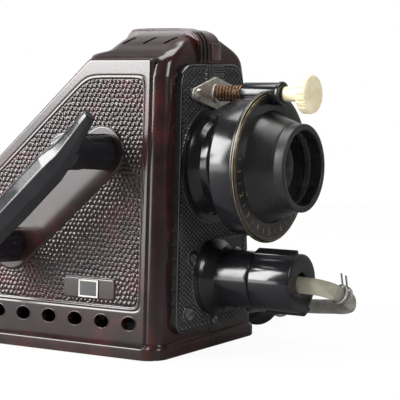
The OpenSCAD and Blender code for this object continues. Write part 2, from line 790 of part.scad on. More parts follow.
module power_cord() {
  color([0.62, 0.60, 0.55]) swept(power_route, cord_w, cord_t, 8);
}

// Wire tie left on the cord near the fold.
module cord_tie() {
  color([0.75, 0.75, 0.75]) translate(power_route[6]) rotate([0, 24, -18]) {
    for (s = [-2.2, 2.2]) translate([s, 0, 0]) {
      rotate([0, 90, 0]) rotate_extrude($fn = 40) translate([5.9, 0]) circle(r = 0.7, $fn = 16);
      translate([0, 0, 5.8]) rotate([0, -34, 0]) cylinder(h = 8, r = 0.6, $fn = 16);
    }
    translate([-2.2, 0, -5.9]) rotate([0, 90, 0]) cylinder(h = 4.4, r = 0.6, $fn = 16);
  }
}

module cord_coil() {
  color([0.62, 0.60, 0.55]) translate([coil_centre[0], coil_centre[1], 0]) rotate_extrude($fn = 64)
    polygon(rounded([
      [coil_mid_r - cord_w, 0.05], [coil_mid_r + cord_w, 0.05], [coil_mid_r + cord_w, coil_h],
      [coil_mid_r - cord_w, coil_h]
    ], 3, 3));
}

module coil_tie() {
  color([0.75, 0.75, 0.75]) translate([coil_centre[0], coil_centre[1] - coil_mid_r, 0]) difference() {
    translate([-2.5, -cord_w - 1.4, 0]) cube([5, 2 * cord_w + 2.8, coil_h + 1.4]);
    translate([-3, -cord_w - 0.2, -1]) cube([6, 2 * cord_w + 0.4, coil_h + 1.2]);
  }
}

module cord_tail() {
  color([0.62, 0.60, 0.55]) swept(tail_route, cord_w, cord_t, 8);
}

// Places its children at the mains plug: +Z runs out of its cord end.
module at_mains_plug() {
  translate(plug_spot) rotate([0, 90 + plug_tilt, plug_turn]) children();
}

module mains_plug() {
  color([0.05, 0.05, 0.05]) at_mains_plug() difference() {
    rotate_extrude($fn = 64) polygon([
      [0, -plug_len], [plug_r - 1, -plug_len], [plug_r, -plug_len + 1], [plug_r, -12], [plug_r - 3, -6.5],
      [9.5, -2],
      [7.4, 2], [6.6, 8], [5.2, 8], [5.2, 0], [0, 0]
    ]);
    for (s = [-1, 1]) translate([0, s * 9.5, -plug_len - 1]) cylinder(h = 12, r = 2.05, $fn = 32);
  }
}

module mains_pins() {
  color([0.75, 0.72, 0.68]) at_mains_plug() for (s = [-1, 1]) translate([0, s * 9.5, -plug_len - 19]) {
    cylinder(h = 29, r = 2, $fn = 32);
  }
}

// ---- base and picture window ----

module base_plate() {
  half = body_w / 2 - 0.2;
  color([0.12, 0.08, 0.07]) difference() {
    linear_extrude(base_t) polygon(rounded([
      [-half, front_y + 2.5], [half, front_y + 2.5], [half, rear_y - 2.5], [-half, rear_y - 2.5]
    ], 2));
    translate([-window_w / 2, window_y - window_w / 2, -1]) cube([window_w, window_w, 10]);
    translate([-window_w / 2 - 3.2, window_y - window_w / 2 - 3.2, 1])
      cube([window_w + 6.4, window_w + 6.4, 10]);
    for (s = [-1, 1], p = base_spots) translate([s * p[0], p[1], -1]) {
      cylinder(h = 6, r = 1.6 + screw_gap, $fn = 32);
      cylinder(h = 2.6, r = 3.2, $fn = 32);
    }
    // air slots under the lamp
    for (x = [-20:8:20]) translate([x - 1.5, 18, -1]) cube([3, 30, 6]);
  }
}

module base_screws() {
  color([0.6, 0.59, 0.56]) for (s = [-1, 1], p = base_spots)
    translate([s * p[0], p[1], 0.2]) rotate([180, 0, 0]) screw(3, 1.3, 1.5, 9);
}

module window_glass() {
  side = window_w + 6;
  color([0.8, 0.9, 0.88, 0.4]) translate([-side / 2, window_y - side / 2, 1]) cube([side, side, 2]);
}

module window_clips() {
  color([0.7, 0.68, 0.62]) for (turn = [0:90:270]) translate([0, window_y, 0]) rotate(turn)
    translate([-6, -window_w / 2 - 8, base_t]) difference() {
      cube([12, 12, 1]);
      translate([6, 2.6, -1]) cylinder(h = 3, r = 1.5, $fn = 24);
    }
}

// ---- mirror ----

// Places its children in the mirror's own frame: Z = 0 is the reflecting face.
module mirror_frame() {
  translate([0, window_y, lens_z]) rotate([-45, 0, 0]) children();
}

module tilted_mirror() {
  color([0.85, 0.88, 0.9]) mirror_frame() translate([-43.5, -46, 0]) cube([87, 92, mirror_t]);
}

module mirror_carrier() {
  color([0.35, 0.35, 0.36]) mirror_frame() difference() {
    translate([-44.5, -48, mirror_t + 0.05]) cube([89, 96, 1.2]);
    for (s = [-1, 1]) translate([s * 22, 0, 0]) cylinder(h = 10, r = 12);
  }
}

module mirror_clips() {
  color([0.7, 0.68, 0.62]) mirror_frame() for (s = [-1, 1], t = [-1, 1])
    translate([s * 30 - 4, t > 0 ? 42 : -47.2, -1.05]) {
      cube([8, 5.2, 1]);
      translate([0, t > 0 ? 4.2 : 0, 0]) cube([8, 1, mirror_t + 1.05]);
    }
}

// ---- lamp ----

module lamp_bracket() {
  color([0.6, 0.6, 0.6]) difference() {
    union() {
      translate([-22, 12, base_t]) cube([44, 1.4, 68]);
      translate([-22, 12, base_t]) cube([44, 5, 1.4]);
    }
    rod_y(11, 15, 5, 0, lamp_z);
    for (s = [-1, 1]) rod_y(11, 15, 2.6, s * 12, 28);
  }
}

module lamp_holder() {
  color([0.85, 0.84, 0.8]) difference() {
    rod_y(13.45, 31, 14, 0, lamp_z);
    rod_y(20, 32, 7.1, 0, lamp_z);
  }
}

module lamp_cap() {
  color([0.75, 0.65, 0.35]) turned([[0, 21], [3, 21], [7, 24], [7, 41], [8.5, 43], [0, 43]], lamp_z);
}

module lamp_bulb() {
  glass = 0.8;
  outer = concat([[8, 43.05], [10, 44.5], [12, 48]], [for (a = [0:15:90]) [12 * cos(a), 66 + 12 * sin(a)]]);
  inner = [
    for (i = [len(outer) - 1:-1:0])
      let (r = outer[i][0], y = outer[i][1])
      [max(r - glass, 0), y > 66 ? 66 + (y - 66) * (12 - glass) / 12 : y]
  ];
  color([0.9, 0.92, 0.9, 0.35]) turned(concat(outer, inner), lamp_z);
}

module lamp_filament() {
  color([0.5, 0.5, 0.5]) {
    rod_y(43.05, 52, 2.5, 0, lamp_z);
    for (s = [-1, 1]) rod_y(51.9, 61, 0.4, s * 1.8, lamp_z);
    translate([-4.5, 61, lamp_z]) rotate([0, 90, 0]) cylinder(h = 9, r = 0.6, $fn = 16);
  }
}

module lamp_reflector() {
  color([0.8, 0.8, 0.8])
    turned([[7.6, 31.1], [14.5, 31.1], [28, 52], [27.2, 52.4], [14, 32.2], [7.6, 32.2]], lamp_z);
}

module heat_baffle() {
  color([0.6, 0.6, 0.6]) {
    translate([-48.5, -3, 83]) cube([97, 69, 1.2]);
    translate([-40, 64.8, 74]) cube([80, 1.2, 9.1]);
  }
}

// Insulated wire from a contact pin, through the bracket, to the lamp holder.
module lamp_wire(s) {
  color(s > 0 ? [0.5, 0.2, 0.12] : [0.15, 0.25, 0.5])
    swept([
      [s * 8, -1.95, socket_z], [s * 8, 0, socket_z], [s * 8.8, 2.4, socket_z - 1.8], [s * 10, 5, 41],
      [s * 11.4, 8, 33], [s * 12, 11, 29], [s * 12, 14.5, 28.2],
      [s * 11.6, 18.5, 30], [s * 10.6, 22, 34], [s * 9.6, 25.4, 40]
    ], 2.8, 2.8, 8);
}

module live_wire() {
  lamp_wire(1);
}

module neutral_wire() {
  lamp_wire(-1);
}

// ---- handle and label ----

// Point over the left side: [y, z] on the panel, at distance x from the joint plane.
function over(p, x) = [-x, p[0], p[1]];

module handle_post(p) {
  foot = panel_out + 0.9;
  length = grip_x - 3 - side_half_w(p[1]) - foot;
  on_left_side() translate([-foot - length, p[0], p[1]]) rotate([0, 90, 0]) difference() {
    cylinder(h = length, r1 = 9.4, r2 = post_r);
    for (k = [0:9])
      rotate(k * 36 + 18) translate([post_r + 1.3, 0, 7]) cylinder(h = length, r = 2.4, $fn = 24);
    translate([0, 0, length - 20]) cylinder(h = 30, r = 2 + screw_gap, $fn = 32);
  }
}

// Tapered horn past a post, bending away from the casing.
module handle_horn(p, tip) {
  hull() {
    translate(over(p, grip_x)) sphere(r = 9, $fn = 28);
    translate(over((p + tip) / 2, grip_x + 1)) sphere(r = 7.6, $fn = 28);
  }
  hull() {
    translate(over((p + tip) / 2, grip_x + 1)) sphere(r = 7.6, $fn = 28);
    translate(over(tip, grip_x + 3)) sphere(r = 4.6, $fn = 28);
  }
}

module side_handle() {
  along = lower_post - upper_post;
  color([0.04, 0.04, 0.045]) {
    hull() for (t = [0, 1]) translate(over(upper_post + along * t, grip_x)) rotate([handle_angle, 0, 0])
      scale([0.76, 1, 1.05]) sphere(r = 10.4, $fn = 32);
    for (p = [upper_post, lower_post]) handle_post(p);
    handle_horn(upper_post, upper_post + [-23.5, 24.5]);
    handle_horn(lower_post, lower_post + [23.5, -24.5]);
  }
}

module handle_screws() {
  color([0.6, 0.59, 0.56]) on_left_side() for (p = [upper_post, lower_post])
    translate([wall + 3.2, p[0], p[1]]) rotate([0, 90, 0]) screw(4, 2, 2, 22);
}

module handle_washers() {
  color([0.6, 0.59, 0.56]) on_left_side() for (p = [upper_post, lower_post])
    translate([wall + 0.1, p[0], p[1]]) rotate([0, 90, 0]) difference() {
      cylinder(h = 1, r = 5.5);
      translate([0, 0, -1]) cylinder(h = 3, r = 2.1, $fn = 32);
    }
}

module label_plate() {
  color([0.1, 0.1, 0.1]) on_left_side() plate_yz(-panel_out - 0.6, -panel_out - 0.12)
    polygon(rounded([[37.1, 35.6], [53.1, 35.6], [53.1, 47.6], [37.1, 47.6]], 0.6, 3));
}

left_shell();
right_shell();
shell_screws();
shell_inserts();
front_plate();
plate_screws();
lens_sleeve();
sleeve_nut();
lens_drum();
engraved_ring();
lens_hood();
front_lens();
front_lens_ring();
lens_spacer();
rear_lens();
rear_lens_ring();
focus_nut_plate();
nut_plate_screws();
focus_spindle();
spindle_clip();
focus_spring();
boss_ferrule();
focus_knob();
knob_screw();
socket_housing();
socket_screws();
pin_carrier();
contact_pins();
plug_body();
plug_contacts();
cord_sleeve();
power_cord();
cord_tie();
cord_coil();
coil_tie();
cord_tail();
mains_plug();
mains_pins();
base_plate();
base_screws();
window_glass();
window_clips();
mirror_carrier();
tilted_mirror();
mirror_clips();
lamp_bracket();
lamp_holder();
lamp_cap();
lamp_bulb();
lamp_filament();
lamp_reflector();
heat_baffle();
live_wire();
neutral_wire();
side_handle();
handle_screws();
handle_washers();
label_plate();
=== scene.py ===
"""Dresses the table projector's frame: finer pieces over the CAD solids, materials, studio and camera.

Lengths are in millimetres, in the CAD's own frame, and become metres where a mesh is made.
"""

import json
import math

import bmesh
import bpy
import numpy as np
from mathutils import Matrix, Vector


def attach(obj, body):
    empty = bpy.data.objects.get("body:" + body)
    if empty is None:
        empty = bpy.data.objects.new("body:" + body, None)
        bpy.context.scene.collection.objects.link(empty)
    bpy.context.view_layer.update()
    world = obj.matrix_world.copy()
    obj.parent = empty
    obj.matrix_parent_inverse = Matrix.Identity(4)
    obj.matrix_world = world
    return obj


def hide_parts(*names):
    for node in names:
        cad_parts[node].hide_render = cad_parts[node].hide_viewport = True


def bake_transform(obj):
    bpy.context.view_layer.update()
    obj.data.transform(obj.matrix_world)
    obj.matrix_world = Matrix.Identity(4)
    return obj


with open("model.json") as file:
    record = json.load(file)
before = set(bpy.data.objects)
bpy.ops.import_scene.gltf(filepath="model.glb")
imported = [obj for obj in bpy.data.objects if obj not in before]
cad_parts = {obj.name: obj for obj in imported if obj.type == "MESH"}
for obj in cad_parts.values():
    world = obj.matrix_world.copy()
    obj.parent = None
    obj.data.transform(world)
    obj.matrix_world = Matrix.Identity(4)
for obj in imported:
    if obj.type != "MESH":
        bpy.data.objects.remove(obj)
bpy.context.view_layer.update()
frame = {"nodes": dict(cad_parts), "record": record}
MM = 0.001

# ---- sizes, as in part.scad ----

BODY_W = 118
LEAN = math.radians(3.05)
REAR_Y = 182
FRONT_Y = -8.5
WALL = 3.5
KNEE_Z = 73.2
SLOPE_Y, SLOPE_Z = 52.7, 187.9
SLOPE_FALL = (SLOPE_Z - KNEE_Z) / (REAR_Y - SLOPE_Y)
EDGE_R = 9
CAP_Z = 205
LENS_Z = 119.4
SOCKET_Z = 47
SPINDLE_Z = LENS_Z + 46
VENT_Z = 21.6
VENT_R = 4.25
VENT_PITCH = 21.1
VENT_YS = [13.3 + VENT_PITCH * k for k in range(8)]
VENT_STRETCH = 1.3      # the air holes are wider along the wall than they are high
PANEL_TOP = 187.5       # measured up the leaning wall
UPPER_POST = (37, 129)
LOWER_POST = (109, 66)
GRIP_X = 95
CORD_W, CORD_T = 9.5, 6.5
COIL_CENTRE = (140, 150)
BORE_R = 3.06           # round the spindle
SPRING_R, SPRING_WIRE_R, SPRING_TURNS = 4.6, 0.62, 8
SPRING_BACK, SPRING_FRONT = -16.3, -35.3

CAMERA_AT = (-830.19, -529.38, 180.02)
CAMERA_TO = (-4.75, -5.02, 96.62)
CAMERA_LENS = 136.67


# ---- mesh helpers ----

def add_mesh(name, points, faces, material, body="casing", stands_for=(), sharp=35):
    """Makes a smooth-shaded piece from points in millimetres."""
    mesh = bpy.data.meshes.new(name)
    mesh.from_pydata((np.asarray(points, float) * MM).tolist(), [], [list(map(int, f)) for f in faces])
    mesh.validate()
    return dress_mesh(name, mesh, material, body, stands_for, sharp)


def dress_mesh(name, mesh, material, body="casing", stands_for=(), sharp=35):
    """Makes a piece from a finished mesh; sharp is the least angle of a hard edge, in degrees."""
    mesh.polygons.foreach_set("use_smooth", [True] * len(mesh.polygons))
    if sharp:
        mesh.set_sharp_from_angle(angle=math.radians(sharp))
    mesh.materials.append(material)
    piece = bpy.data.objects.new(name, mesh)
    bpy.context.scene.collection.objects.link(piece)
    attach(piece, body)
    if stands_for:
        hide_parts(*stands_for)
    return piece


def outward(mesh):
    """Turns all faces outwards."""
    work = bmesh.new()
    work.from_mesh(mesh)
    bmesh.ops.remove_doubles(work, verts=work.verts, dist=1e-7)
    bmesh.ops.recalc_face_normals(work, faces=work.faces)
    work.to_mesh(mesh)
    work.free()


def grid_faces(rows, columns, closed=True):
    """Quads between rows of points; each row is a closed ring if closed."""
    faces = []
    for i in range(rows - 1):
        for j in range(columns if closed else columns - 1):
            here, beside = i * columns + j, i * columns + (j + 1) % columns
            faces.append((here, beside, beside + columns, here + columns))
    return faces


def tube_faces(rows, columns):
    """The quads of a tube of closed rings and its two end faces."""
    start = tuple(range(columns))
    return grid_faces(rows, columns) + [start[::-1], tuple((rows - 1) * columns + k for k in start)]


def ring_faces(count, columns):
    """Quads of rows that close on themselves in both directions."""
    faces = []
    for k in range(count):
        for j in range(columns):
            here, there, beside = k * columns, (k + 1) % count * columns, (j + 1) % columns
            faces.append((here + j, here + beside, there + beside, there + j))
    return faces


def bevelled(outline, radius, steps=3):
    """Closed outline with its corners rounded by up to radius."""
    result = []
    for i, corner in enumerate(outline):
        here = np.array(corner, float)
        before = np.array(outline[i - 1], float) - here
        after = np.array(outline[(i + 1) % len(outline)], float) - here
        reach = min(radius, 0.45 * np.linalg.norm(before), 0.45 * np.linalg.norm(after))
        a = here + before / max(np.linalg.norm(before), 1e-9) * reach
        b = here + after / max(np.linalg.norm(after), 1e-9) * reach
        for k in range(steps + 1):
            t = k / steps
            result.append(tuple((1 - t) ** 2 * a + 2 * t * (1 - t) * here + t * t * b))
    return result


def lathe(name, outline, material, z, body="casing", stands_for=(), bevel=0.5, segments=128, ripple=None):
    """Turned piece about an axis along Y at height z; the outline is a closed list of (radius, y)."""
    ring = bevelled(outline, bevel)
    points = []
    for k in range(segments):
        angle = 2 * math.pi * k / segments
        for radius, y in ring:
            if ripple:
                radius = ripple(radius, y, angle)
            points.append((radius * math.cos(angle), y, z + radius * math.sin(angle)))
    piece = add_mesh(name, points, ring_faces(segments, len(ring)), material, body, stands_for, sharp=0)
    outward(piece.data)
    piece.data.polygons.foreach_set("use_smooth", [True] * len(piece.data.polygons))
    piece.data.set_sharp_from_angle(angle=math.radians(40))
    return piece


def smooth_path(points, step):
    """Catmull-Rom curve through points, sampled about every step millimetres."""
    points = np.asarray(points, float)
    ends = np.vstack([2 * points[0] - points[1], points, 2 * points[-1] - points[-2]])
    result = []
    for i in range(1, len(ends) - 2):
        a, b, c, d = ends[i - 1:i + 3]
        count = max(1, int(round(np.linalg.norm(c - b) / step)))
        for k in range(count):
            t = k / count
            result.append(0.5 * (2 * b + (c - a) * t + (2 * a - 5 * b + 4 * c - d) * t ** 2
                                 + (3 * b - a - 3 * c + d) * t ** 3))
    result.append(points[-1])
    return np.array(result)


def sweep(name, path, section, material, stands_for=(), scale=None):
    """Tube along path; section gives (side, up) points and scale a factor at each path point."""
    path = np.asarray(path, float)
    heading = np.gradient(path, axis=0)
    heading /= np.linalg.norm(heading, axis=1)[:, None]
    side = np.cross(heading, (0, 0, 1))
    side /= np.linalg.norm(side, axis=1)[:, None]
    up = np.cross(side, heading)
    points = []
    for i, centre in enumerate(path):
        factor = 1 if scale is None else scale[i]
        for s, u in section:
            points.append(centre + factor * (s * side[i] + u * up[i]))
    faces = tube_faces(len(path), len(section))
    return add_mesh(name, points, faces, material, stands_for=stands_for, sharp=50)


def oval(width, thickness, count=20, power=2.0):
    """Section that stands upright: (side, up) points of a superellipse."""
    result = []
    for k in range(count):
        angle = 2 * math.pi * k / count
        c, s = math.cos(angle), math.sin(angle)
        result.append((thickness / 2 * math.copysign(abs(c) ** (2 / power), c),
                       width / 2 * math.copysign(abs(s) ** (2 / power), s)))
    return result


def rounded_box(name, low, high, radius, material, body="casing", turn=None):
    """Box with rounded edges; turn is (degrees about Y, centre)."""
    work = bmesh.new()
    bmesh.ops.create_cube(work, size=1)
    low, high = np.array(low, float), np.array(high, float)
    for v in work.verts:
        v.co = Vector((np.array(v.co) + 0.5) * (high - low) + low)
    bmesh.ops.bevel(work, geom=work.edges[:], offset=radius, segments=3, profile=0.5, affect="EDGES")
    if turn:
        angle, centre = math.radians(turn[0]), turn[1]
        for v in work.verts:
            dx, dz = v.co.x - centre[0], v.co.z - centre[1]
            v.co.x = centre[0] + dx * math.cos(angle) + dz * math.sin(angle)
            v.co.z = centre[1] - dx * math.sin(angle) + dz * math.cos(angle)
    for v in work.verts:
        v.co *= MM
    mesh = bpy.data.meshes.new(name)
    work.to_mesh(mesh)
    work.free()
    return dress_mesh(name, mesh, material, body)


def on_left_wall(y, s, out):
    """Point out millimetres from the leaning left wall, s being measured up the wall."""
    x = -BODY_W / 2 - out * math.cos(LEAN) + s * math.sin(LEAN)
    return (x, y, out * math.sin(LEAN) + s * math.cos(LEAN))


# ---- materials ----

class Finish:
    """One Principled material whose colour, roughness and bump come from nodes."""

    def __init__(self, name):
        self.material = bpy.data.materials.new(name)
        self.material.use_nodes = True
        self.tree = self.material.node_tree
        self.shader = self.tree.nodes["Principled BSDF"]
        self.coords = self.add("ShaderNodeTexCoord").outputs["Object"]

    def add(self, kind, inputs=None, **settings):
        node = self.tree.nodes.new(kind)
        for key, value in settings.items():
            setattr(node, key, value)
        for key, value in (inputs or {}).items():
            self.set(node.inputs[key], value)
        return node

    def set(self, socket, value):
        if isinstance(value, bpy.types.NodeSocket):
            self.tree.links.new(value, socket)
        else:
            socket.default_value = value

    def noise(self, scale, detail=4, distortion=0.0):
        node = self.add("ShaderNodeTexNoise", {
            "Vector": self.coords, "Scale": scale, "Detail": detail, "Distortion": distortion,
            "Roughness": 0.55})
        return node.outputs["Fac"]

    def ramp(self, value, stops):
        node = self.add("ShaderNodeValToRGB", {"Fac": value})
        elements = node.color_ramp.elements
        while len(elements) < len(stops):
            elements.new(0.5)
        for element, (place, colour) in zip(elements, stops):
            element.position = place
            element.color = (*colour, 1)
        return node.outputs["Color"]

    def span(self, value, low, high, start=0.0, end=1.0):
        """Maps value from start..end to low..high."""
        node = self.add("ShaderNodeMapRange", {
            "Value": value, "From Min": start, "From Max": end, "To Min": low, "To Max": high})
        return node.outputs["Result"]

    def mix(self, factor, first, second):
        node = self.add("ShaderNodeMix", data_type="RGBA")
        for key, value in (("Factor_Float", factor), ("A_Color", first), ("B_Color", second)):
            socket = next(s for s in node.inputs if s.identifier == key)
            self.set(socket, value if isinstance(value, (bpy.types.NodeSocket, float, int)) else (*value, 1))
        return next(s for s in node.outputs if s.identifier == "Result_Color")

    def bump(self, height, strength, distance):
        node = self.add("ShaderNodeBump", {"Height": height, "Strength": strength, "Distance": distance})
        self.set(self.shader.inputs["Normal"], node.outputs["Normal"])

    def shade(self, **values):
        for key, value in values.items():
            socket = self.shader.inputs[key.replace("_", " ")]
            self.set(socket, (*value, 1) if isinstance(value, tuple) else value)
        return self.material

    def edges(self, low, high):
        """1 on convex edges, which are lightened as wear, and in black phenolic also as a painted highlight.
        """
        pointy = self.add("ShaderNodeNewGeometry").outputs["Pointiness"]
        return self.span(pointy, 0.0, 1.0, low, high)

    def rise(self):
        """Height of the relief at this point, in millimetres."""
        return self.add("ShaderNodeAttribute", attribute_name="rise").outputs["Fac"]


def marbled_plastic(name, dark, middle, warm, gloss=0.16, painted_shade_rise=None):
    """Pressed phenolic with the streaks of its powder; the optional range of rise marks the low creases of a
    relief, which get painted shade: a darker colour, and more roughness.
    """
    f = Finish(name)
    streaks = f.noise(22, 6, 1.6)
    clouds = f.noise(60, 5, 0.6)
    base = f.ramp(streaks, [(0.40, dark), (0.52, middle), (0.66, warm)])
    spots = f.ramp(clouds, [(0.45, dark), (0.62, middle)])
    colour = f.mix(f.span(f.noise(35, 3), 0.1, 0.6, 0.35, 0.65), base, spots)
    roughness = f.span(clouds, gloss * 0.8, gloss * 1.5)
    if painted_shade_rise:
        # painted shade: the colour darkens and the surface roughens where the relief lies low
        unshaded = f.span(f.rise(), 0, 1, *painted_shade_rise)
        colour = f.mix(unshaded, (0.012, 0.009, 0.009), colour)
        roughness = f.span(unshaded, 0.6, gloss)
    else:
        colour = f.mix(f.edges(0.55, 0.70), colour, tuple(0.05 + 0.8 * c for c in warm))
    f.bump(f.noise(900, 3), 0.05, 0.0003)
    return f.shade(Base_Color=colour, Roughness=roughness, IOR=1.58)


def black_plastic(name, colour=(0.009, 0.009, 0.011), gloss=0.13, dust=0.15, ridges=None):
    """Polished black phenolic with dust, and convex edges lightened as wear and a painted highlight; ridges
    is the range of rise whose raised slopes are lightened the same way, as wear and a painted highlight.
    """
    f = Finish(name)
    haze = f.noise(45, 6, 0.3)
    dusty = tuple(c + 0.035 for c in colour)
    f.bump(f.noise(700, 4), 0.05, 0.0003)
    tone = f.mix(f.span(haze, 0.0, dust, 0.4, 0.75), colour, dusty)
    if ridges:
        start, top = ridges
        black, white = (0, 0, 0), (1, 1, 1)
        height = f.span(f.rise(), 0, 1, start, top)
        # wear and painted highlight: the slopes of raised ridges are lightened to grey
        wear_and_highlight = f.ramp(height, [(0.4, black), (0.8, white), (0.9, white), (0.98, black)])
        tone = f.mix(wear_and_highlight, tone, (0.085, 0.085, 0.085))
    else:
        # wear and painted highlight: convex edges are lightened to grey
        tone = f.mix(f.edges(0.56, 0.72), tone, (0.09, 0.09, 0.095))
    return f.shade(Base_Color=tone, Roughness=f.span(haze, gloss * 0.7, gloss * 1.8, 0.3, 0.7), IOR=1.55)


def worn_metal(name, colour, tarnish, gloss=0.3, grain=400):
    """Plated or bare metal with tarnish in patches."""
    f = Finish(name)
    patches = f.noise(180, 6, 0.5)
    tone = f.mix(f.span(patches, 0.0, 0.9, 0.42, 0.7), colour, tarnish)
    f.bump(f.noise(grain, 5), 0.15, 0.0004)
    return f.shade(Base_Color=tone, Roughness=f.span(patches, gloss, gloss * 1.8, 0.3, 0.7), Metallic=1.0)


def soft_plastic(name, colour, shade, gloss=0.4, scale=60):
    """Aged light plastic or rubber with darker patches."""
    f = Finish(name)
    patches = f.noise(scale, 6, 0.4)
    f.bump(f.noise(scale * 12, 4), 0.2, 0.0003)
    tone = f.mix(f.span(patches, 0.0, 1.0, 0.35, 0.7), colour, shade)
    return f.shade(Base_Color=tone, Roughness=f.span(patches, gloss, gloss * 1.4, 0.3, 0.7))


def clear_glass(name, tint):
    """Glass with faint smears."""
    f = Finish(name)
    roughness = f.span(f.noise(30, 3), 0.0, 0.06, 0.4, 0.8)
    return f.shade(Base_Color=tint, Roughness=roughness, IOR=1.5, Transmission_Weight=1.0)


MARBLE = ((0.012, 0.006, 0.006), (0.026, 0.010, 0.010), (0.060, 0.010, 0.009))
BAKELITE = marbled_plastic("bakelite", *MARBLE)
# the side panels get painted shade in the low creases of their relief
PANEL_BAKELITE = marbled_plastic("bakelite_panel", *MARBLE, painted_shade_rise=(0.0, 0.7))
BLACK = black_plastic("black_phenolic")
# the lattice ridges of the front plate get wear and a painted highlight
PLATE_BLACK = black_plastic("black_phenolic_plate", ridges=(3.1, 4.0))
ENAMEL = black_plastic("black_enamel", (0.010, 0.010, 0.010), 0.20, 0.3)
HOOD_BLACK = black_plastic("dusty_black", (0.010, 0.009, 0.009), 0.26, 0.35)
NICKEL = worn_metal("nickel", (0.80, 0.77, 0.72), (0.48, 0.44, 0.38), 0.32)
STEEL = worn_metal("steel", (0.45, 0.44, 0.42), (0.20, 0.17, 0.14), 0.35)
BRASS = worn_metal("brass", (0.62, 0.46, 0.20), (0.30, 0.20, 0.09), 0.3)
COPPER = worn_metal("copper", (0.42, 0.22, 0.11), (0.09, 0.06, 0.04), 0.36)
GOLD = worn_metal("gilt_line", (0.60, 0.48, 0.30), (0.30, 0.24, 0.16), 0.4)
IVORY = soft_plastic("ivory", (0.80, 0.72, 0.50), (0.62, 0.52, 0.32), 0.28)
CREAM = soft_plastic("cream_rubber", (0.36, 0.34, 0.26), (0.20, 0.19, 0.14), 0.5)
CORD = soft_plastic("cord_rubber", (0.27, 0.26, 0.23), (0.15, 0.14, 0.12), 0.5, 90)
CERAMIC = soft_plastic("ceramic", (0.72, 0.70, 0.64), (0.55, 0.52, 0.45), 0.2)
WIRE = soft_plastic("wire", (0.30, 0.12, 0.06), (0.20, 0.08, 0.04), 0.4)
GLASS = clear_glass("glass", (0.86, 0.93, 0.92))
# painted shade: the lens glass is tinted nearly black, for the dark inside of the lens mouth
LENS_GLASS_SHADED = clear_glass("lens_glass", (0.10, 0.11, 0.12))
SILVERED = worn_metal("silvered", (0.85, 0.86, 0.86), (0.7, 0.7, 0.7), 0.03, 60)
ALUMINIUM = worn_metal("aluminium", (0.65, 0.65, 0.66), (0.45, 0.44, 0.42), 0.3)

SLOT_FINISH = {
    "bakelite": BAKELITE, "black_plastic": BLACK, "black_enamel": ENAMEL, "nickel": NICKEL, "steel": STEEL,
    "brass": BRASS, "copper": COPPER, "ivory_plastic": IVORY, "cream_rubber": CREAM, "grey_rubber": CORD,
    "white_ceramic": CERAMIC, "glass": GLASS, "mirror": SILVERED, "aluminium": ALUMINIUM,
    "wire_plastic": WIRE,
}
SLOT_OF = {finish: slot for slot, finish in SLOT_FINISH.items()}
SLOT_OF.update({
    HOOD_BLACK: "black_enamel", GOLD: "brass", PANEL_BAKELITE: "bakelite", PLATE_BLACK: "black_plastic",
    LENS_GLASS_SHADED: "glass",
})


# ---- camera and cord ----

def aim(obj, at, to):
    """Puts a camera or lamp at a point in millimetres and turns it to another."""
    obj.location = Vector(at) * MM
    obj.rotation_euler = (Vector(to) - Vector(at)).to_track_quat("-Z", "Y").to_euler()


def make_camera():
    data = bpy.data.cameras.new("camera")
    data.lens = CAMERA_LENS
    data.sensor_width = 36
    data.clip_start = 0.01
    data.clip_end = 100
    camera = bpy.data.objects.new("camera", data)
    bpy.context.scene.collection.objects.link(camera)
    aim(camera, CAMERA_AT, CAMERA_TO)
    bpy.context.scene.camera = camera


# route of the cord's middle line, as in part.scad
BEND_R, BEND_Y = 19.5, -80.5
CORD_BEND = [
    (BEND_R - BEND_R * math.cos(a), BEND_Y - BEND_R * math.sin(a), 36.8 + 9.2 * math.cos(a))
    for a in (math.radians(18 * k) for k in range(11))
]
POWER_ROUTE = [(0, -66, 46), (0, -77.5, 46)] + CORD_BEND + [
    (40.3, -72, 26.8), (41.1, -64, 26.2), (42, -56, 25.8), (44, -46, 25), (47, -36, 24), (51, -26, 22.8),
    (56, -17, 21.6), (61.5, -9.5, 20), (66.8, -1, 17.8), (69.4, 8, 14.4), (70, 18, 10.4), (70, 30, 6.9),
    (70, 44, 5.1), (71, 60, 4.8), (73.5, 76, 4.8), (77, 92, 4.8), (80.5, 108, 4.8), (83.5, 128, 4.8),
    (85.2, 150, 4.8),
]
TAIL_ROUTE = [
    (194.8, 150, 14.3), (194.6, 140, 14.2), (194, 128, 13.2), (192.6, 114, 11), (190, 100, 8.4),
    (186, 86, 6.2), (181, 72, 5), (175, 58, 4.8), (169, 44, 4.8), (163, 33.6, 4.8), (156.6, 25.2, 4.8),
    (149.6, 18.6, 4.8), (142, 14, 4.8), (134.6, 11.2, 4.9), (128, 10.2, 5.4),
]
PLUG_R, PLUG_TILT = 17, math.radians(20)
PLUG_SPOT = (109, 10, PLUG_R * math.cos(PLUG_TILT) - 12 * math.sin(PLUG_TILT) + 0.05)


def at_plug(d):
    """Point on the mains plug's axis, d in front of the plug's own origin."""
    return (PLUG_SPOT[0] + d * math.cos(PLUG_TILT), PLUG_SPOT[1], PLUG_SPOT[2] - d * math.sin(PLUG_TILT))


def ease(values, start, end):
    """0 up to start, 1 from end on, smooth between."""
    t = np.clip((values - start) / (end - start), 0, 1)
    return t * t * (3 - 2 * t)


def coil_route():
    """Turns of the stored length: outer low, inner low, inner high, outer high, from the left side round."""
    outer, inner, low, high = 54.75, 45.3, 4.8, 14.3
    turns = np.linspace(0, 3.5, 128)[1:-1]
    radius = outer + (inner - outer) * (ease(turns, 0.71, 0.86) - ease(turns, 2.47, 2.67))
    height = low + (high - low) * ease(turns, 1.58, 1.71)
    angle = math.pi - 2 * math.pi * turns
    return [(COIL_CENTRE[0] + r * math.cos(a), COIL_CENTRE[1] + r * math.sin(a), z)
            for r, a, z in zip(radius, angle, height)]


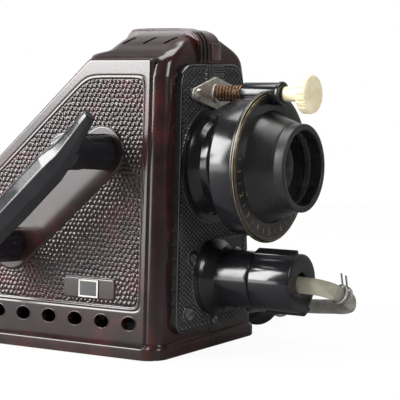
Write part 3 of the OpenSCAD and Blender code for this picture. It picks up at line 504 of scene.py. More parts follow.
def make_cord():
    """The cord from the connector to the mains plug, as one piece."""
    route = POWER_ROUTE + coil_route() + TAIL_ROUTE + [at_plug(d) for d in (14, 8, 0.2)]
    path = smooth_path(route, 2.5)
    piece = sweep("mains_lead", path, oval(CORD_W, CORD_T, 16, 2.3), CORD,
                  stands_for=("power_cord", "cord_coil", "cord_tail"))


CAD = frame["nodes"]
make_camera()
make_cord()


# ---- casing ----

def side_half_w(z):
    """Half the casing's width at height z."""
    return BODY_W / 2 - z * math.tan(LEAN)


def slope_y(z):
    """y of the casing's rear face at height z."""
    return REAR_Y if z < KNEE_Z else SLOPE_Y + (SLOPE_Z - z) / SLOPE_FALL


# slices are (z, half the width, front y, rear y, corner radius)
PLINTH_SLICES = [
    (0, 62.6, FRONT_Y - 0.9, REAR_Y + 2.4, 12.5),
    (0.6, 63.2, FRONT_Y - 1.5, REAR_Y + 3, 13),
    (6.4, 63.2, FRONT_Y - 1.5, REAR_Y + 3, 13),
    (7.2, 62.9, FRONT_Y - 1.3, REAR_Y + 2.7, 12.7),
    (8.6, 60.9, FRONT_Y - 0.7, REAR_Y + 1.4, 11.2),
    (9.4, 60.2, FRONT_Y - 0.4, REAR_Y + 0.6, 10.5),
    (10.2, 58.2, FRONT_Y + 0.5, REAR_Y - 0.5, 9),
]
CAP_SLICES = [
    (176, side_half_w(176), FRONT_Y, slope_y(176), EDGE_R),
    (184, 47.4, FRONT_Y, slope_y(184), EDGE_R),
    (188, 44.5, FRONT_Y, 56.5, EDGE_R),
    (190.5, 41, FRONT_Y, 56, EDGE_R),
    (193, 37, FRONT_Y + 0.5, 47.5, EDGE_R),
    (196, 31, FRONT_Y + 1.5, 46.5, EDGE_R),
    (199, 25.5, FRONT_Y + 3, 45.5, EDGE_R),
    (202, 18.5, FRONT_Y + 5.5, 44.5, EDGE_R),
    (204, 12.5, FRONT_Y + 8.5, 42.5, EDGE_R),
    (CAP_Z, 9, FRONT_Y + 12, 40, EDGE_R * 0.9),
]
CAVITY_SLICES = [
    (-1, side_half_w(0) - WALL, FRONT_Y + WALL, REAR_Y - WALL, 6),
    (KNEE_Z - 2, side_half_w(KNEE_Z) - WALL, FRONT_Y + WALL, REAR_Y - WALL, 6),
    (174, side_half_w(174) - WALL, FRONT_Y + WALL, slope_y(174) - 5.2, 6),
    (183.5, 43, FRONT_Y + WALL, 50, 6),
    (187, 38, FRONT_Y + WALL, 45, 6),
    (192, 30, FRONT_Y + 4.5, 42.5, 6),
    (197, 20, FRONT_Y + 7.5, 41, 6),
    (CAP_Z - WALL, 11, FRONT_Y + 12.5, 37, 6),
]
JOINT_GAP = 0.3
OPENING_Z_R = ((LENS_Z, 36.5), (SOCKET_Z, 21), (SPINDLE_Z, 5))
BASE_SEAT = [(-59.4, FRONT_Y + 2.3), (2, FRONT_Y + 2.3), (2, REAR_Y - 2.3), (-59.4, REAR_Y - 2.3)]
LOUVRE_YS = (4, 20, 36)
LOUVRE_LEAN, LOUVRE_TURN = math.radians(-40), math.radians(62)


def casing_slices():
    """Slices of the casing from its foot to the cap."""
    low = [(z, side_half_w(z), FRONT_Y, slope_y(z), EDGE_R) for z in (0.4, KNEE_Z, 100, 130, 155)]
    return low + [tuple(s) for s in smooth_path(CAP_SLICES, 1.1)]


def half_slice(half_w, front, rear, radius, steps):
    """Left half of a slice with rounded corners, from the joint's front round to its rear."""
    angles = np.linspace(0, math.pi / 2, steps + 1)
    ring = [(-JOINT_GAP, front)]
    ring += [(-half_w + radius - radius * math.sin(a), front + radius - radius * math.cos(a)) for a in angles]
    ring += [(-half_w + radius - radius * math.cos(a), rear - radius + radius * math.sin(a)) for a in angles]
    return ring + [(-JOINT_GAP, rear)]


def half_loft(slices, steps=14):
    """Points and faces of the closed solid through a stack of half slices."""
    rings = [[(x, y, z) for x, y in half_slice(*sizes, steps)] for z, *sizes in slices]
    return [p for ring in rings for p in ring], tube_faces(len(rings), len(rings[0]))


def temporary(points, faces):
    """Solid that is used in a boolean or a remesh and isn't kept."""
    mesh = bpy.data.meshes.new("cutter")
    mesh.from_pydata((np.asarray(points, float) * MM).tolist(), [], [list(map(int, f)) for f in faces])
    outward(mesh)
    obj = bpy.data.objects.new("cutter", mesh)
    bpy.context.scene.collection.objects.link(obj)
    return obj


def combine(target, others, operation):
    """Applies exact booleans to target and removes the other objects."""
    for other in others:
        change = target.modifiers.new("cut", "BOOLEAN")
        change.operation = operation
        change.solver = "EXACT"
        change.object = other
    graph = bpy.context.evaluated_depsgraph_get()
    mesh = bpy.data.meshes.new_from_object(target.evaluated_get(graph))
    target.modifiers.clear()
    old = target.data
    target.data = mesh
    bpy.data.meshes.remove(old)
    for other in others:
        data = other.data
        bpy.data.objects.remove(other)
        bpy.data.meshes.remove(data)


def prism(outline, axis, low, high):
    """Closed prism; the outline is in the two other axes' order, and axis is 'x', 'y' or 'z'."""
    at = "xyz".index(axis)
    points = [(*p[:at], h, *p[at:]) for h in (low, high) for p in outline]
    return points, tube_faces(2, len(outline))


def disc(a, b, radius, count=40):
    """Points of a circle round (a, b)."""
    return [(a + radius * math.cos(2 * math.pi * k / count), b + radius * math.sin(2 * math.pi * k / count))
            for k in range(count)]


def louvre_cutter(y):
    """Slanted slot through the cap's side."""
    outline = bevelled([(-1.3, -5.2), (1.3, -5.2), (1.3, 5.2), (-1.3, 5.2)], 1.2, 5)
    points, faces = prism(outline, "z", -7, 4)
    turn = Matrix.Rotation(LOUVRE_LEAN, 3, "Y") @ Matrix.Rotation(LOUVRE_TURN, 3, "Z")
    return [turn @ Vector(p) + Vector((-25.2, y, 199.5)) for p in points], faces


def vent_outline(middle):
    """Wide oval of an air hole."""
    return [(middle + (y - middle) * VENT_STRETCH, z) for y, z in disc(middle, VENT_Z, VENT_R)]


def cavity():
    """Inside of the shell, carried 1 mm past the joint."""
    points, faces = half_loft(CAVITY_SLICES, 6)
    return [(x + 1 if x > -1 else x, y, z) for x, y, z in points], faces


def make_shell(name, side):
    """Half of the casing with its plinth and openings; side is -1 for the left and 1 for the right."""
    shell = temporary(*half_loft(casing_slices()))
    combine(shell, [temporary(*half_loft(PLINTH_SLICES, 16))], "UNION")
    cutters = [temporary(*cavity())]
    cutters += [temporary(*prism(vent_outline(y), "x", -72, -50)) for y in VENT_YS]
    cutters += [temporary(*louvre_cutter(y)) for y in LOUVRE_YS]
    cutters += [temporary(*prism(disc(0, z, r, 64), "y", FRONT_Y - 4, FRONT_Y + 8)) for z, r in OPENING_Z_R]
    cutters.append(temporary(*prism(BASE_SEAT, "z", -1, 3.1)))
    combine(shell, cutters, "DIFFERENCE")
    mesh = shell.data.copy()
    bpy.data.objects.remove(shell)
    if side > 0:
        for v in mesh.vertices:
            v.co.x = -v.co.x
    outward(mesh)
    piece = dress_mesh(name + "_skin", mesh, BAKELITE, stands_for=(name,), sharp=28)
    piece.modifiers.new("even", "WEIGHTED_NORMAL").keep_sharp = True


make_shell("left_shell", -1)
make_shell("right_shell", 1)


# ---- relief of the side panels and the front plate ----

def soft_min(values, reach):
    """Smallest of several distances, rounded where they meet."""
    values = np.stack(values)
    return -reach * np.log(np.exp(-values / reach).sum(0))


def inside_distance(corners, a, b, reach=0.01):
    """Distance inside a convex outline given anticlockwise; negative outside."""
    walls = []
    for i, (a0, b0) in enumerate(corners):
        a1, b1 = corners[(i + 1) % len(corners)]
        length = math.hypot(a1 - a0, b1 - b0)
        walls.append(((b - b0) * (a1 - a0) - (a - a0) * (b1 - b0)) / length)
    return soft_min(walls, reach)


def step(distance, width):
    """0 to 1 with a round shoulder while the distance grows from 0 to width."""
    t = np.clip(distance / width, 0, 1)
    return np.sqrt(1 - (1 - t) ** 2)


def capsule(a, b, start, end, radius):
    """Distance inside a shape with round ends."""
    start, end = np.array(start, float), np.array(end, float)
    along = end - start
    t = np.clip(((a - start[0]) * along[0] + (b - start[1]) * along[1]) / (along @ along), 0, 1)
    return radius - np.hypot(a - start[0] - t * along[0], b - start[1] - t * along[1])


ROW_SHARE = 0.87        # distance of two rows of stones, as a share of their pitch


def pebbles(a, b, pitch, seed):
    """Domed stones, close together: 0 in the joints and 1 on top."""
    rows = int(220 / pitch) + 4
    shift = np.random.RandomState(seed).uniform(-0.2, 0.2, (rows + 4, rows + 4, 2))
    row = np.floor(b / (pitch * ROW_SHARE)).astype(int)
    nearest = np.full(a.shape, 99.0)
    second = np.full(a.shape, 99.0)
    for dr in (-1, 0, 1):
        r = row + dr
        offset = 0.5 * (r % 2)
        column = np.floor(a / pitch - offset).astype(int)
        for dc in (-1, 0, 1):
            c = column + dc
            s = shift[np.clip(r, 0, rows), np.clip(c, 0, rows)]
            middle_a = (c + 0.5 + offset + s[..., 0]) * pitch
            middle_b = (r + 0.5 + s[..., 1]) * pitch * ROW_SHARE
            distance = np.hypot(a - middle_a, b - middle_b)
            second = np.where(distance < nearest, nearest, np.minimum(second, distance))
            nearest = np.minimum(distance, nearest)
    return 1 - (1 - np.clip((second - nearest) / (0.85 * pitch), 0, 1)) ** 2


def under_slope(front, rear, low, high, below):
    """Outline on the side wall, whose sloped edge is the distance below under the casing's slope."""
    top = SLOPE_Z - below
    return [(front, low), (rear, low), (rear, top - SLOPE_FALL * (rear - SLOPE_Y)),
            (SLOPE_Y + (top - high) / SLOPE_FALL, high), (front, high)]


PANEL = under_slope(1.1, REAR_Y - 3, 8.6, PANEL_TOP, 3)
FIELD = under_slope(6.2, REAR_Y - 12, 30.5, 176.2, 13.8)
LABEL_PAD = [(24.5, 34.8), (65.5, 34.8), (65.5, 48.6), (24.5, 48.6)]


def panel_height(y, s, with_handle):
    """How far the side panel stands out of the leaning wall at y and s, s being up the wall."""
    border = inside_distance(PANEL, y, s, 0.5)
    field = inside_distance(FIELD, y, s, 2.2)
    height = 1.5 * step(border, 1.3) - 0.6 * (border < 0)
    height -= 0.35 * np.exp(-((field + 0.9) / 0.45) ** 2)
    height -= 0.85 * np.clip((field - 0.6) / 0.6, 0, 1)
    stones = pebbles(y, s, 3.4, 4) * np.clip((field - 1.2) / 0.8, 0, 1)
    raised = np.full(y.shape, -9.0)
    pads = [(inside_distance(LABEL_PAD, y, s, 0.8), 1.6)]
    if with_handle:
        pads.append((capsule(y, s, UPPER_POST, LOWER_POST, 16.5), 2.3))
    for distance, level in pads:
        raised = np.maximum(raised, np.where(distance > 0, 0.6 + (level - 0.6) * step(distance, 0.9), -9))
        stones = stones * (distance < -0.4)
    return np.maximum(height + 0.9 * stones, raised)


def relief(name, height, keep, place, first, second, spacing, material, stands_for=()):
    """Surface over a rectangle; height, keep and place are functions of the two plane coordinates.

    The height is kept as the attribute rise, which the materials read.
    """
    a = np.arange(first[0], first[1] + spacing, spacing)
    b = np.arange(second[0], second[1] + spacing, spacing)
    grid_a, grid_b = np.meshgrid(a, b)
    high = height(grid_a, grid_b)
    used = keep(grid_a, grid_b)
    cell = used[:-1, :-1] & used[1:, :-1] & used[:-1, 1:] & used[1:, 1:]
    index = np.arange(grid_a.size).reshape(grid_a.shape)
    corners = (index[:-1, :-1], index[:-1, 1:], index[1:, 1:], index[1:, :-1])
    quads = np.stack([corner[cell] for corner in corners], 1)
    wanted, packed = np.unique(quads, return_inverse=True)
    points = np.stack(place(grid_a, grid_b, high), -1).reshape(-1, 3)[wanted]
    piece = add_mesh(name, points, packed.reshape(quads.shape), material, stands_for=stands_for, sharp=0)
    rise = piece.data.attributes.new("rise", "FLOAT", "POINT")
    rise.data.foreach_set("value", high.reshape(-1)[wanted])
    return piece


def keep_panel(y, s):
    """True inside the panel's outline and outside its air holes."""
    used = inside_distance(PANEL, y, s, 0.5) > -0.7
    for middle in VENT_YS:
        used &= np.hypot((y - middle) / VENT_STRETCH, s - VENT_Z) > VENT_R + 0.1
    return used


def make_panel(name, side):
    """Pebbled side panel; side is -1 for the left and 1 for the right."""
    def height(y, s):
        return panel_height(y, s, side < 0)

    def place(y, s, high):
        x, y, z = on_left_wall(y, s, high)
        return (x * -side, y, z)

    piece = relief(name, height, keep_panel, place, (0, 180), (7.4, PANEL_TOP + 1), 0.5, PANEL_BAKELITE)
    outward(piece.data)
    if piece.data.polygons[0].normal.x * side < 0:
        piece.data.flip_normals()
    piece.data.polygons.foreach_set("use_smooth", [True] * len(piece.data.polygons))


def make_vent_rims(side_name, side, steps=48):
    """Moulded rims round the air holes, from the inside of the wall to just proud of the panel."""
    ring = bevelled([(VENT_R, 1.7), (VENT_R + 0.75, 1.62), (VENT_R + 0.8, 1.0), (VENT_R, -3)], 0.3)
    for k, middle in enumerate(VENT_YS):
        points = []
        for j in range(steps):
            angle = 2 * math.pi * j / steps
            for radius, out in ring:
                along, s = radius * VENT_STRETCH * math.cos(angle), VENT_Z + radius * math.sin(angle)
                x, y, z = on_left_wall(middle + along, s, out)
                points.append((x * -side, y, z))
        name = "vent_rim_%s_%d" % (side_name, k)
        rim = add_mesh(name, points, ring_faces(steps, len(ring)), BAKELITE, sharp=40)
        outward(rim.data)


def make_label_frame():
    """Pale border of the bare label plate."""
    y0, y1, s0, s1, width = 37.6, 52.6, 36.1, 47.1, 0.9
    points = []
    for out in (2.0, 2.16):
        for inset in (0, width):
            low, high = s0 + inset, s1 - inset
            near, far = y0 + inset, y1 - inset
            corners = ((near, low), (far, low), (far, high), (near, high))
            points += [on_left_wall(y, s, out) for y, s in corners]
    faces = []
    for i in range(4):
        j = (i + 1) % 4
        faces += [(8 + i, 8 + j, 12 + j, 12 + i), (i, 4 + i, 4 + j, j), (i, j, 8 + j, 8 + i),
                  (4 + i, 12 + i, 12 + j, 4 + j)]
    border = add_mesh("label_frame", points, faces, CERAMIC, sharp=30)
    outward(border.data)


make_label_frame()
make_panel("left_panel", -1)
make_panel("right_panel", 1)
make_vent_rims("left", -1)
make_vent_rims("right", 1)


PLATE = [(-45.2, 14), (45.2, 14), (37.9, 184.5), (-37.9, 184.5)]
PLATE_CORNERS = ((23.5, 169.5, 15, 1), (35.8, 23, 9, -1))   # x, z, radius, and 1 for an upper corner
SOCKET_SCREW_R = 28.5
SOCKET_SCREW_TURNS = [math.radians(a) for a in (150, 270, 30)]
PLATE_SCREWS = [(SOCKET_SCREW_R * math.cos(a), SOCKET_Z + SOCKET_SCREW_R * math.sin(a))
                for a in SOCKET_SCREW_TURNS] + [(-30, 26), (30, 26)]
SOCKET_PAD = [(0, 22.2), (30, 22.2), (30, 71.8), (0, 71.8)]
RIB_PAD = [(-9, 173), (0, 173), (0, 183.5), (-9, 183.5)]
TABLET_PAD = [(1, 173), (12.5, 173), (12.5, 183.5), (1, 183.5)]
LATTICE_W, LATTICE_H = 4.6, 3.0
PLATE_HOLES = ((LENS_Z, 29.6), (SOCKET_Z, 18.5), (SPINDLE_Z, 3.7))


def spot(x, z, centre, radius):
    """Distance inside a round spot, drawn as a capsule only 0.01 mm long."""
    return capsule(x, z, centre, (centre[0], centre[1] + 0.01), radius)


def plate_border(x, z):
    """Distance to the plate's edge, whose upper corners are rounded more than the lower ones."""
    border = inside_distance(PLATE, x, z, 2.2)
    for cx, cz, radius, up in PLATE_CORNERS:
        corner = radius - np.hypot(np.abs(x) - cx, z - cz)
        border = np.where((np.abs(x) > cx) & ((z - cz) * up > 0), np.minimum(border, corner), border)
    return border


def plate_height(x, z):
    """How far the front plate stands out of the casing's front face."""
    border = plate_border(x, z)
    height = 4.0 * step(border, 1.2) - 0.8 * (border < 0)
    field = np.clip((border - 3.0) / 0.5, 0, 1)
    u, v = x / LATTICE_W, z / LATTICE_H
    ridges = np.maximum(np.abs(((u + v) % 1) - 0.5), np.abs(((u - v) % 1) - 0.5)) * 2
    lattice = 0.75 * np.clip((ridges - 0.58) / 0.34, 0, 1)
    smooth = spot(x, z, (0, LENS_Z), 38)
    for screw in PLATE_SCREWS:
        smooth = np.maximum(smooth, spot(x, z, screw, 5.4))
    height -= field * (0.9 - lattice) * (smooth < 0)
    pad = np.maximum(spot(x, z, (0, SOCKET_Z), 24.8), inside_distance(SOCKET_PAD, x, z, 0.6))
    pad = np.minimum(pad, -spot(x, z, PLATE_SCREWS[-1], 5.4))
    height = np.where(pad > 0, np.maximum(height, 3.4 + 3.2 * step(pad, 1.0)), height)
    rib = inside_distance(RIB_PAD, x, z, 0.3)
    grooved = 4.3 - 0.8 * (np.abs((x / 3.0) % 1 - 0.5) < 0.2)
    height = np.where(rib > 0, grooved, height)
    tablet = inside_distance(TABLET_PAD, x, z, 0.3)
    striped = 4.1 - 0.35 * (np.abs((z / 1.7) % 1 - 0.5) < 0.18)
    return np.where(tablet > 0, striped, height)


def keep_plate(x, z):
    """True inside the plate's outline and outside its holes."""
    used = plate_border(x, z) > -0.5
    for hole_z, radius in PLATE_HOLES:
        used &= np.hypot(x, z - hole_z) > radius
    return used


plate = relief("front_plate_relief", plate_height, keep_plate, lambda x, z, high: (x, FRONT_Y - high, z),
               (-46, 46), (13, 185.5), 0.4, PLATE_BLACK, ("front_plate",))
if plate.data.polygons[0].normal.y > 0:
    plate.data.flip_normals()


# ---- strips over the joint ----

def strip_line(e):
    """Line of the strip over the front and the cap, standing e proud, from the front to the rear."""
    return [
        (FRONT_Y - e, 184.8), (FRONT_Y - e, 193.5), (FRONT_Y + 1.2 - e, 199 + e * 0.4),
        (FRONT_Y + 4.6 - e * 0.5, 202.6 + e), (FRONT_Y + 9.5, CAP_Z - 0.4 + e), (FRONT_Y + 13, CAP_Z + e),
        (38, CAP_Z + e), (43 + e * 0.5, 203.2 + e * 0.8), (46 + e, 199.5), (47.4 + e, 194), (49.5 + e, 190.2),
    ]


def make_strip(name, low_x, high_x, e):
    """Band of the strip between two x, with softened edges."""
    soften = 0.45
    across = [(low_x, -1.6), (low_x, e - soften), (low_x + soften, e), (high_x - soften, e),
              (high_x, e - soften), (high_x, -1.6)]
    lines = [smooth_path([(0, *p) for p in strip_line(level)], 1.5) for _, level in across]
    count = min(len(line) for line in lines)
    points = []
    for (x, _), line in zip(across, lines):
        pick = np.linspace(0, len(line) - 1, count)
        y = np.interp(pick, range(len(line)), line[:, 1])
        z = np.interp(pick, range(len(line)), line[:, 2])
        points += list(zip([x] * count, y, z))
    starts = [i * count for i in range(len(across))]
    faces = grid_faces(len(across), count, closed=False)
    faces += [tuple(starts), tuple(i + count - 1 for i in starts)[::-1]]
    piece = add_mesh(name, points, faces, BAKELITE, sharp=30)
    outward(piece.data)


STRIP_HALF_W, RIB_W, RIB_PITCH = 13, 2.6, 4.4
make_strip("joint_strip_left", -STRIP_HALF_W, -JOINT_GAP, 1.0)
make_strip("joint_strip_right", JOINT_GAP, STRIP_HALF_W, 1.0)
for k in range(3):
    rib_x = 0.4 - STRIP_HALF_W + RIB_PITCH * k
    make_strip("joint_rib_%d" % k, rib_x, rib_x + RIB_W, 2.0)
rounded_box("joint_tablet", (1.2, FRONT_Y - 2.2, 186.5), (11.8, FRONT_Y + 1, 197.5), 0.5, BAKELITE)


# ---- lens ----

lens = dict(z=LENS_Z, body="lens_unit")
SLEEVE_LINE = [
    (27.06, -26), (28.6, -26), (29, -25), (29, -20), (30.4, -16), (33, -13.3), (36.5, -12.8), (36.5, -12.2),
    (30, -12), (30, -2), (27.06, -2),
]
DRUM_LINE = [(24.5, 2), (24.5, -52.4), (41, -52.4), (44.2, -52.4), (44.2, -35.8), (27, -35.8), (27, 2)]
BOSS_LINE = [(BORE_R, -61.4), (7.2, -61.4), (7.2, -36.0), (BORE_R, -36.0)]
RING_LINE = [(35.4, -52.45), (47.2, -52.45), (48, -53.4), (48, -54.6), (46.4, -56), (35.4, -56)]
HOOD_LINE = [
    (24.5, -52.55), (35.3, -52.55), (35.3, -55.4), (34.4, -56.6), (28.6, -71.2), (27.7, -72.2), (27.7, -78.8),
    (23.6, -78.8), (23.6, -70.5), (24.5, -70.5),
]
lathe("sleeve", SLEEVE_LINE, BLACK, LENS_Z, stands_for=("lens_sleeve",))
lathe("drum", DRUM_LINE, BLACK, stands_for=("lens_drum",), bevel=1.2, **lens)
lathe("boss_tube", BOSS_LINE, BLACK, SPINDLE_Z, body="lens_unit", bevel=0.8, segments=64)
rounded_box("boss_web", (-5.2, -52.4, 161.0), (5.2, -35.9, 166), 1.0, BLACK, "lens_unit")
lathe("ring", RING_LINE, ENAMEL, stands_for=("engraved_ring",), bevel=0.35, **lens)
lathe("hood", HOOD_LINE, HOOD_BLACK, stands_for=("lens_hood",), bevel=0.8, **lens)
for k, (r, y) in enumerate([(47.55, -55.1), (46.2, -56.02), (44.9, -56.02)]):
    gilt_line = [(r - 0.1, y - 0.1), (r + 0.1, y - 0.1), (r + 0.1, y + 0.3), (r - 0.1, y + 0.3)]
    lathe("gilt_circle_%d" % k, gilt_line, GOLD, bevel=0.05, **lens)


SCALE_R, SCALE_Y, SCALE_START, SCALE_PITCH = 41.0, -56.05, 170, 10.5
MARK_RISE = 0.08


def number_mesh(number):
    """Flat figure in the plane of X and Y, in metres, about the origin."""
    text = bpy.data.curves.new("number", "FONT")
    text.body = str(number)
    text.size = 6.2 * MM
    text.align_x = "CENTER"
    text.align_y = "CENTER"
    text.extrude = MARK_RISE * MM
    holder = bpy.data.objects.new("holder", text)
    bpy.context.scene.collection.objects.link(holder)
    graph = bpy.context.evaluated_depsgraph_get()
    mesh = bpy.data.meshes.new_from_object(holder.evaluated_get(graph))
    bpy.data.objects.remove(holder)
    return mesh


def tick_mesh():
    """Raised mark of the scale."""
    mesh = bpy.data.meshes.new("tick")
    tick = [(-0.25, -1.6), (0.25, -1.6), (0.25, 1.6), (-0.25, 1.6)]
    points, faces = prism(tick, "z", -MARK_RISE, MARK_RISE)
    mesh.from_pydata((np.array(points) * MM).tolist(), [], faces)
    return mesh


def make_scale():
    """Plain numbers and ticks in turn round the ring."""
    for k in range(19):
        angle = math.radians(SCALE_START + k * SCALE_PITCH)
        mesh = number_mesh(1 + k // 2) if k % 2 else tick_mesh()
        turn = angle + math.pi / 2
        middle = Vector((SCALE_R * math.cos(angle), SCALE_Y, LENS_Z + SCALE_R * math.sin(angle))) * MM
        for v in mesh.vertices:
            x = v.co.x * math.cos(turn) - v.co.y * math.sin(turn)
            z = v.co.x * math.sin(turn) + v.co.y * math.cos(turn)
            v.co = middle + Vector((x, -v.co.z, z))
        outward(mesh)
        dress_mesh("scale_mark_%d" % k, mesh, GOLD, "lens_unit")


make_scale()


# ---- focusing gear ----

NUT_BOSS_LINE = [(3.08, -15.6), (5.8, -15.6), (6.2, -15.2), (6.2, -13.5), (3.08, -13.5)]
FERRULE_LINE = [(BORE_R, -61.45), (7.8, -61.45), (7.8, -63.5), (7.2, -64.1), (BORE_R, -64.1)]


def make_nut_plate():
    """Rhombus with four round corners, each given as x, z, radius, first angle and spread."""
    outline = []
    for x, z, radius, start, spread in ((24.5, 0, 3.8, -62, 124), (0, 7.2, 3.2, 62, 56),
                                        (-24.5, 0, 3.8, 118, 124), (0, -7.2, 3.2, 242, 56)):
        for k in range(9):
            angle = math.radians(start + spread * k / 8)
            outline.append((x + radius * math.cos(angle), SPINDLE_Z + z + radius * math.sin(angle)))
    points, faces = prism(outline, "y", -14.7, -11.9)
    piece = add_mesh("nut_plate", points, faces, NICKEL, stands_for=("focus_nut_plate",), sharp=30)
    outward(piece.data)
    soften = piece.modifiers.new("soft", "BEVEL")
    soften.width = 0.5 * MM
    soften.segments = 2
    lathe("nut_boss", NUT_BOSS_LINE, NICKEL, SPINDLE_Z, bevel=0.3, segments=64)


make_nut_plate()
lathe("ferrule", FERRULE_LINE, ENAMEL, SPINDLE_Z, body="lens_unit", stands_for=("boss_ferrule",), segments=64)

KNOB_LINE = [
    (2.45, -65.1), (4.7, -65.1), (4.7, -77.9), (11.2, -78), (12.2, -79), (12.2, -79.3), (12.2, -81.2),
    (12.2, -83.6), (11.6, -85), (9.8, -86.1), (7, -86.8), (3.5, -87), (0.02, -87), (0.02, -81.05),
    (2.45, -81.05),
]


def knob_flutes(radius, y, angle):
    """Radius of the knob with its 18 flutes, which are only in the rim."""
    if radius < 11 or y > -78.8 or y < -84.4:
        return radius
    return radius - 0.9 * max(0.0, math.cos(angle * 18)) ** 3


lathe("knob", KNOB_LINE, IVORY, SPINDLE_Z, body="focus_gear", stands_for=("focus_knob",), bevel=0.4,
      segments=288, ripple=knob_flutes)


def make_spring():
    """Coil round the spindle, from the nut plate forward to the drum's rear face."""
    turns = np.linspace(0, SPRING_TURNS, SPRING_TURNS * 28)
    along = np.array((0, 1, 0))
    points = []
    for t in turns:
        radial = np.array((math.cos(2 * math.pi * t), 0, math.sin(2 * math.pi * t)))
        y = SPRING_BACK + (SPRING_FRONT - SPRING_BACK) * t / SPRING_TURNS
        centre = np.array((0, y, SPINDLE_Z)) + SPRING_R * radial
        for k in range(8):
            angle = 2 * math.pi * k / 8
            points.append(centre + SPRING_WIRE_R * (radial * math.cos(angle) + along * math.sin(angle)))
    faces = tube_faces(len(turns), 8)
    piece = add_mesh("spring_wire", points, faces, COPPER, stands_for=("focus_spring",), sharp=60)
    outward(piece.data)
    piece.parent = None    # the spring is left without a parent
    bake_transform(piece)


make_spring()


# ---- power inlet and connector ----

INLET_LINE = [
    (16, -47.9), (18.2, -47.9), (18.4, -46), (18.4, -23.5), (19.4, -20.4), (22.2, -17.2), (24.2, -15.9),
    (24.2, -15.1), (18.8, -15.1), (18.8, -5.5), (16, -5.5),
]
COUPLER_LINE = [(0.02, -48.1), (18.6, -48.1), (18.6, -77.5), (6.7, -77.5), (6.7, -66), (0.02, -66)]
NOSE_LINE = [(0.02, -48.3), (15.7, -48.3), (15.7, -14.4), (0.02, -14.4)]
WING_TILT = -22
lathe("inlet", INLET_LINE, BLACK, SOCKET_Z, stands_for=("socket_housing",), bevel=1.4)
lathe("coupler", COUPLER_LINE, BLACK, SOCKET_Z, stands_for=("plug_body",), bevel=1.3)
lathe("coupler_nose", NOSE_LINE, BLACK, SOCKET_Z, bevel=0.5)
for name, low, high in (("wing_top", 63.0, 68.8), ("wing_bottom", 25.2, 31.0)):
    rounded_box(name, (-4, -77.4, low), (4, -49, high), 0.7, BLACK, turn=(WING_TILT, (0, SOCKET_Z)))
sleeve_path = smooth_path([(0, -67, 46)] + POWER_ROUTE[1:6], 1.5)
sweep("sleeve_rubber", sleeve_path, oval(CORD_W + 1.4, CORD_T + 1.4, 24), CREAM, stands_for=("cord_sleeve",),
      scale=np.linspace(1, 0.94, len(sleeve_path)))


# ---- handle ----

FACET_TURN = -87.7      # turns the flats of the grip, in degrees
FACETS = 8
FLUTE_STEPS = 120
FLUTES_FROM = 0.42      # share of the post's length that is smooth
HORN = np.array((-23.5, 24.5))
POST_FOOT = 2.4


def grip_stations():
    """(point on the wall's plane, distance from the joint plane, radius) from the upper to the lower horn."""
    start, end = np.array(UPPER_POST, float), np.array(LOWER_POST, float)
    along = end - start
    upper = [(start + HORN, 98.5, 4.2), (start + HORN * 0.8, 98, 5.2), (start + HORN * 0.45, 96.5, 6.6)]
    lower = [(end - HORN * 0.45, 96.5, 6.6), (end - HORN * 0.8, 98, 5.2), (end - HORN, 98.5, 4.2)]
    middle = [(start + along * t, GRIP_X, radius)
              for t, radius in ((0, 8.8), (0.12, 10.9), (0.5, 11.2), (0.88, 10.9), (1, 8.8))]
    return upper + middle + lower


def grip_solid():
    """Faceted bar along the grip and its horns."""
    stations = grip_stations()
    route = smooth_path([(-x, *point) for point, x, _ in stations], 2)
    knots = np.cumsum([0] + [np.linalg.norm(a[0] - b[0]) for a, b in zip(stations, stations[1:])])
    travelled = np.cumsum([0, *np.linalg.norm(np.diff(route, axis=0), axis=1)])
    size = np.interp(travelled, knots * travelled[-1] / knots[-1], [radius for _, _, radius in stations])
    heading = np.gradient(route, axis=0)
    heading /= np.linalg.norm(heading, axis=1)[:, None]
    points = []
    for centre, ahead, radius in zip(route, heading, size):
        across = np.cross(ahead, (1, 0, 0))
        across /= np.linalg.norm(across)
        out = np.cross(across, ahead)
        for k in range(FACETS):
            angle = math.radians(360 / FACETS * k + FACET_TURN)
            points.append(centre + 1.04 * radius * (across * math.cos(angle) + out * math.sin(angle) * 0.78))
    return temporary(points, tube_faces(len(route), FACETS))


def post_solid(y0, s0):
    """Post from the grip down to the wall, fluted near the wall."""
    length = GRIP_X - 1 - side_half_w(s0) - POST_FOOT
    levels = np.linspace(0, 1, 20)
    points = []
    for t in levels:
        for k in range(FLUTE_STEPS):
            angle = 2 * math.pi * k / FLUTE_STEPS
            radius = 11.6
            if t >= FLUTES_FROM:
                radius = 10.9 + 1.2 * (t - FLUTES_FROM)
                depth = 1.4 * min(1, (t - FLUTES_FROM) / 0.1)
                radius -= depth * max(0.0, math.cos(10 * angle)) ** 1.5
            y, s = y0 + radius * math.cos(angle), s0 + radius * math.sin(angle)
            points.append(on_left_wall(y, s, POST_FOOT + length * (1 - t)))
    return temporary(points, tube_faces(len(levels), FLUTE_STEPS))


def make_handle():
    """Grip, horns and fluted posts, fused and smoothed like a casting."""
    handle = grip_solid()
    combine(handle, [post_solid(*UPPER_POST), post_solid(*LOWER_POST)], "UNION")
    fuse = handle.modifiers.new("fuse", "REMESH")
    fuse.mode = "VOXEL"
    fuse.voxel_size = 0.55 * MM
    calm = handle.modifiers.new("calm", "SMOOTH")
    calm.factor = 0.5
    calm.iterations = 4
    graph = bpy.context.evaluated_depsgraph_get()
    mesh = bpy.data.meshes.new_from_object(handle.evaluated_get(graph))
    bpy.data.objects.remove(handle)
    dress_mesh("grip", mesh, BLACK, stands_for=("side_handle",), sharp=0)


make_handle()


# ---- finishes of the CAD's own nodes ----

for entry in frame["record"]["subparts"]:
    node = CAD[entry["node"]]
    node.data.materials.clear()
    lens_node = entry["node"] in ("front_lens", "rear_lens")
    node.data.materials.append(LENS_GLASS_SHADED if lens_node else SLOT_FINISH[entry["material_slot"]])


# ---- studio ----

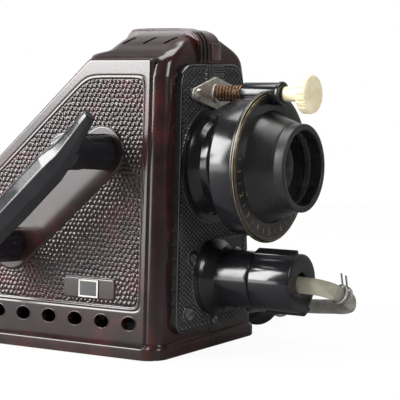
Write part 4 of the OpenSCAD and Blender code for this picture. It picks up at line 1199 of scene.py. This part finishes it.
LIT_POINT = (0, 20, 90)


def make_floor():
    """Pale floor 2 m square that the camera sees almost white, with the object's shadow."""
    mesh = bpy.data.meshes.new("floor")
    corners = [(x, y, -0.0002) for x, y in ((-1, -1), (1, -1), (1, 1), (-1, 1))]
    mesh.from_pydata(corners, [], [(0, 1, 2, 3)])
    floor = bpy.data.objects.new("floor", mesh)
    bpy.context.scene.collection.objects.link(floor)
    f = Finish("floor_white")
    rays = f.add("ShaderNodeLightPath").outputs
    f.shade(Base_Color=f.mix(rays["Is Glossy Ray"], (0.86, 0.86, 0.86), (0.2, 0.2, 0.2)), Roughness=0.8)
    share = f.add("ShaderNodeMath", {0: rays["Is Camera Ray"], 1: 0.95}, operation="MULTIPLY").outputs[0]
    glow = f.add("ShaderNodeEmission", {"Color": (1, 1, 1, 1), "Strength": 1.0})
    blend = f.add("ShaderNodeMixShader", {"Fac": share})
    f.tree.links.new(f.shader.outputs[0], blend.inputs[1])
    f.tree.links.new(glow.outputs[0], blend.inputs[2])
    f.tree.links.new(blend.outputs[0], f.tree.nodes["Material Output"].inputs["Surface"])
    mesh.materials.append(f.material)


def make_world():
    """White for the camera and through glass; for other rays a room that is brighter on one side."""
    world = bpy.data.worlds.new("studio")
    bpy.context.scene.world = world
    world.use_nodes = True
    tree = world.node_tree
    tree.nodes.clear()

    def add(kind, *links, **settings):
        node = tree.nodes.new(kind)
        for key, value in settings.items():
            setattr(node, key, value)
        for source, socket in links:
            tree.links.new(source, node.inputs[socket])
        return node

    where = add("ShaderNodeTexCoord").outputs["Generated"]
    facing = add("ShaderNodeVectorMath", (where, 0), operation="DOT_PRODUCT")
    facing.inputs[1].default_value = (0.845, 0.537, 0.0)
    bright = add("ShaderNodeMapRange", (facing.outputs["Value"], "Value"))
    for key, value in (("From Min", 0.35), ("From Max", 0.95), ("To Min", 0.10), ("To Max", 0.85)):
        bright.inputs[key].default_value = value
    room = add("ShaderNodeBackground", (bright.outputs["Result"], "Color"))
    white = add("ShaderNodeBackground")
    white.inputs["Color"].default_value = (1, 1, 1, 1)
    rays = add("ShaderNodeLightPath").outputs
    seen = (rays["Is Camera Ray"], 0), (rays["Is Transmission Ray"], 1)
    clear = add("ShaderNodeMath", *seen, operation="MAXIMUM")
    blend = add("ShaderNodeMixShader", (clear.outputs[0], 0), (room.outputs[0], 1), (white.outputs[0], 2))
    add("ShaderNodeOutputWorld", (blend.outputs[0], 0))


def soft_light(name, at, size, power):
    """Rectangular lamp that faces the object; size is (width, height) and power is in watts."""
    data = bpy.data.lights.new(name, "AREA")
    data.shape = "RECTANGLE"
    data.size, data.size_y = size[0] * MM, size[1] * MM
    data.energy = power
    lamp = bpy.data.objects.new(name, data)
    bpy.context.scene.collection.objects.link(lamp)
    aim(lamp, at, LIT_POINT)


make_floor()
make_world()
soft_light("top_box", (100, 150, 1300), (900, 700), 12)
soft_light("left_box", (-1170, 1090, 800), (920, 1100), 52)
soft_light("left_low_box", (-1250, 1150, 130), (1300, 300), 6)
soft_light("front_box", (-250, -1300, 700), (400, 700), 8)
bpy.context.scene.view_settings.view_transform = "Standard"
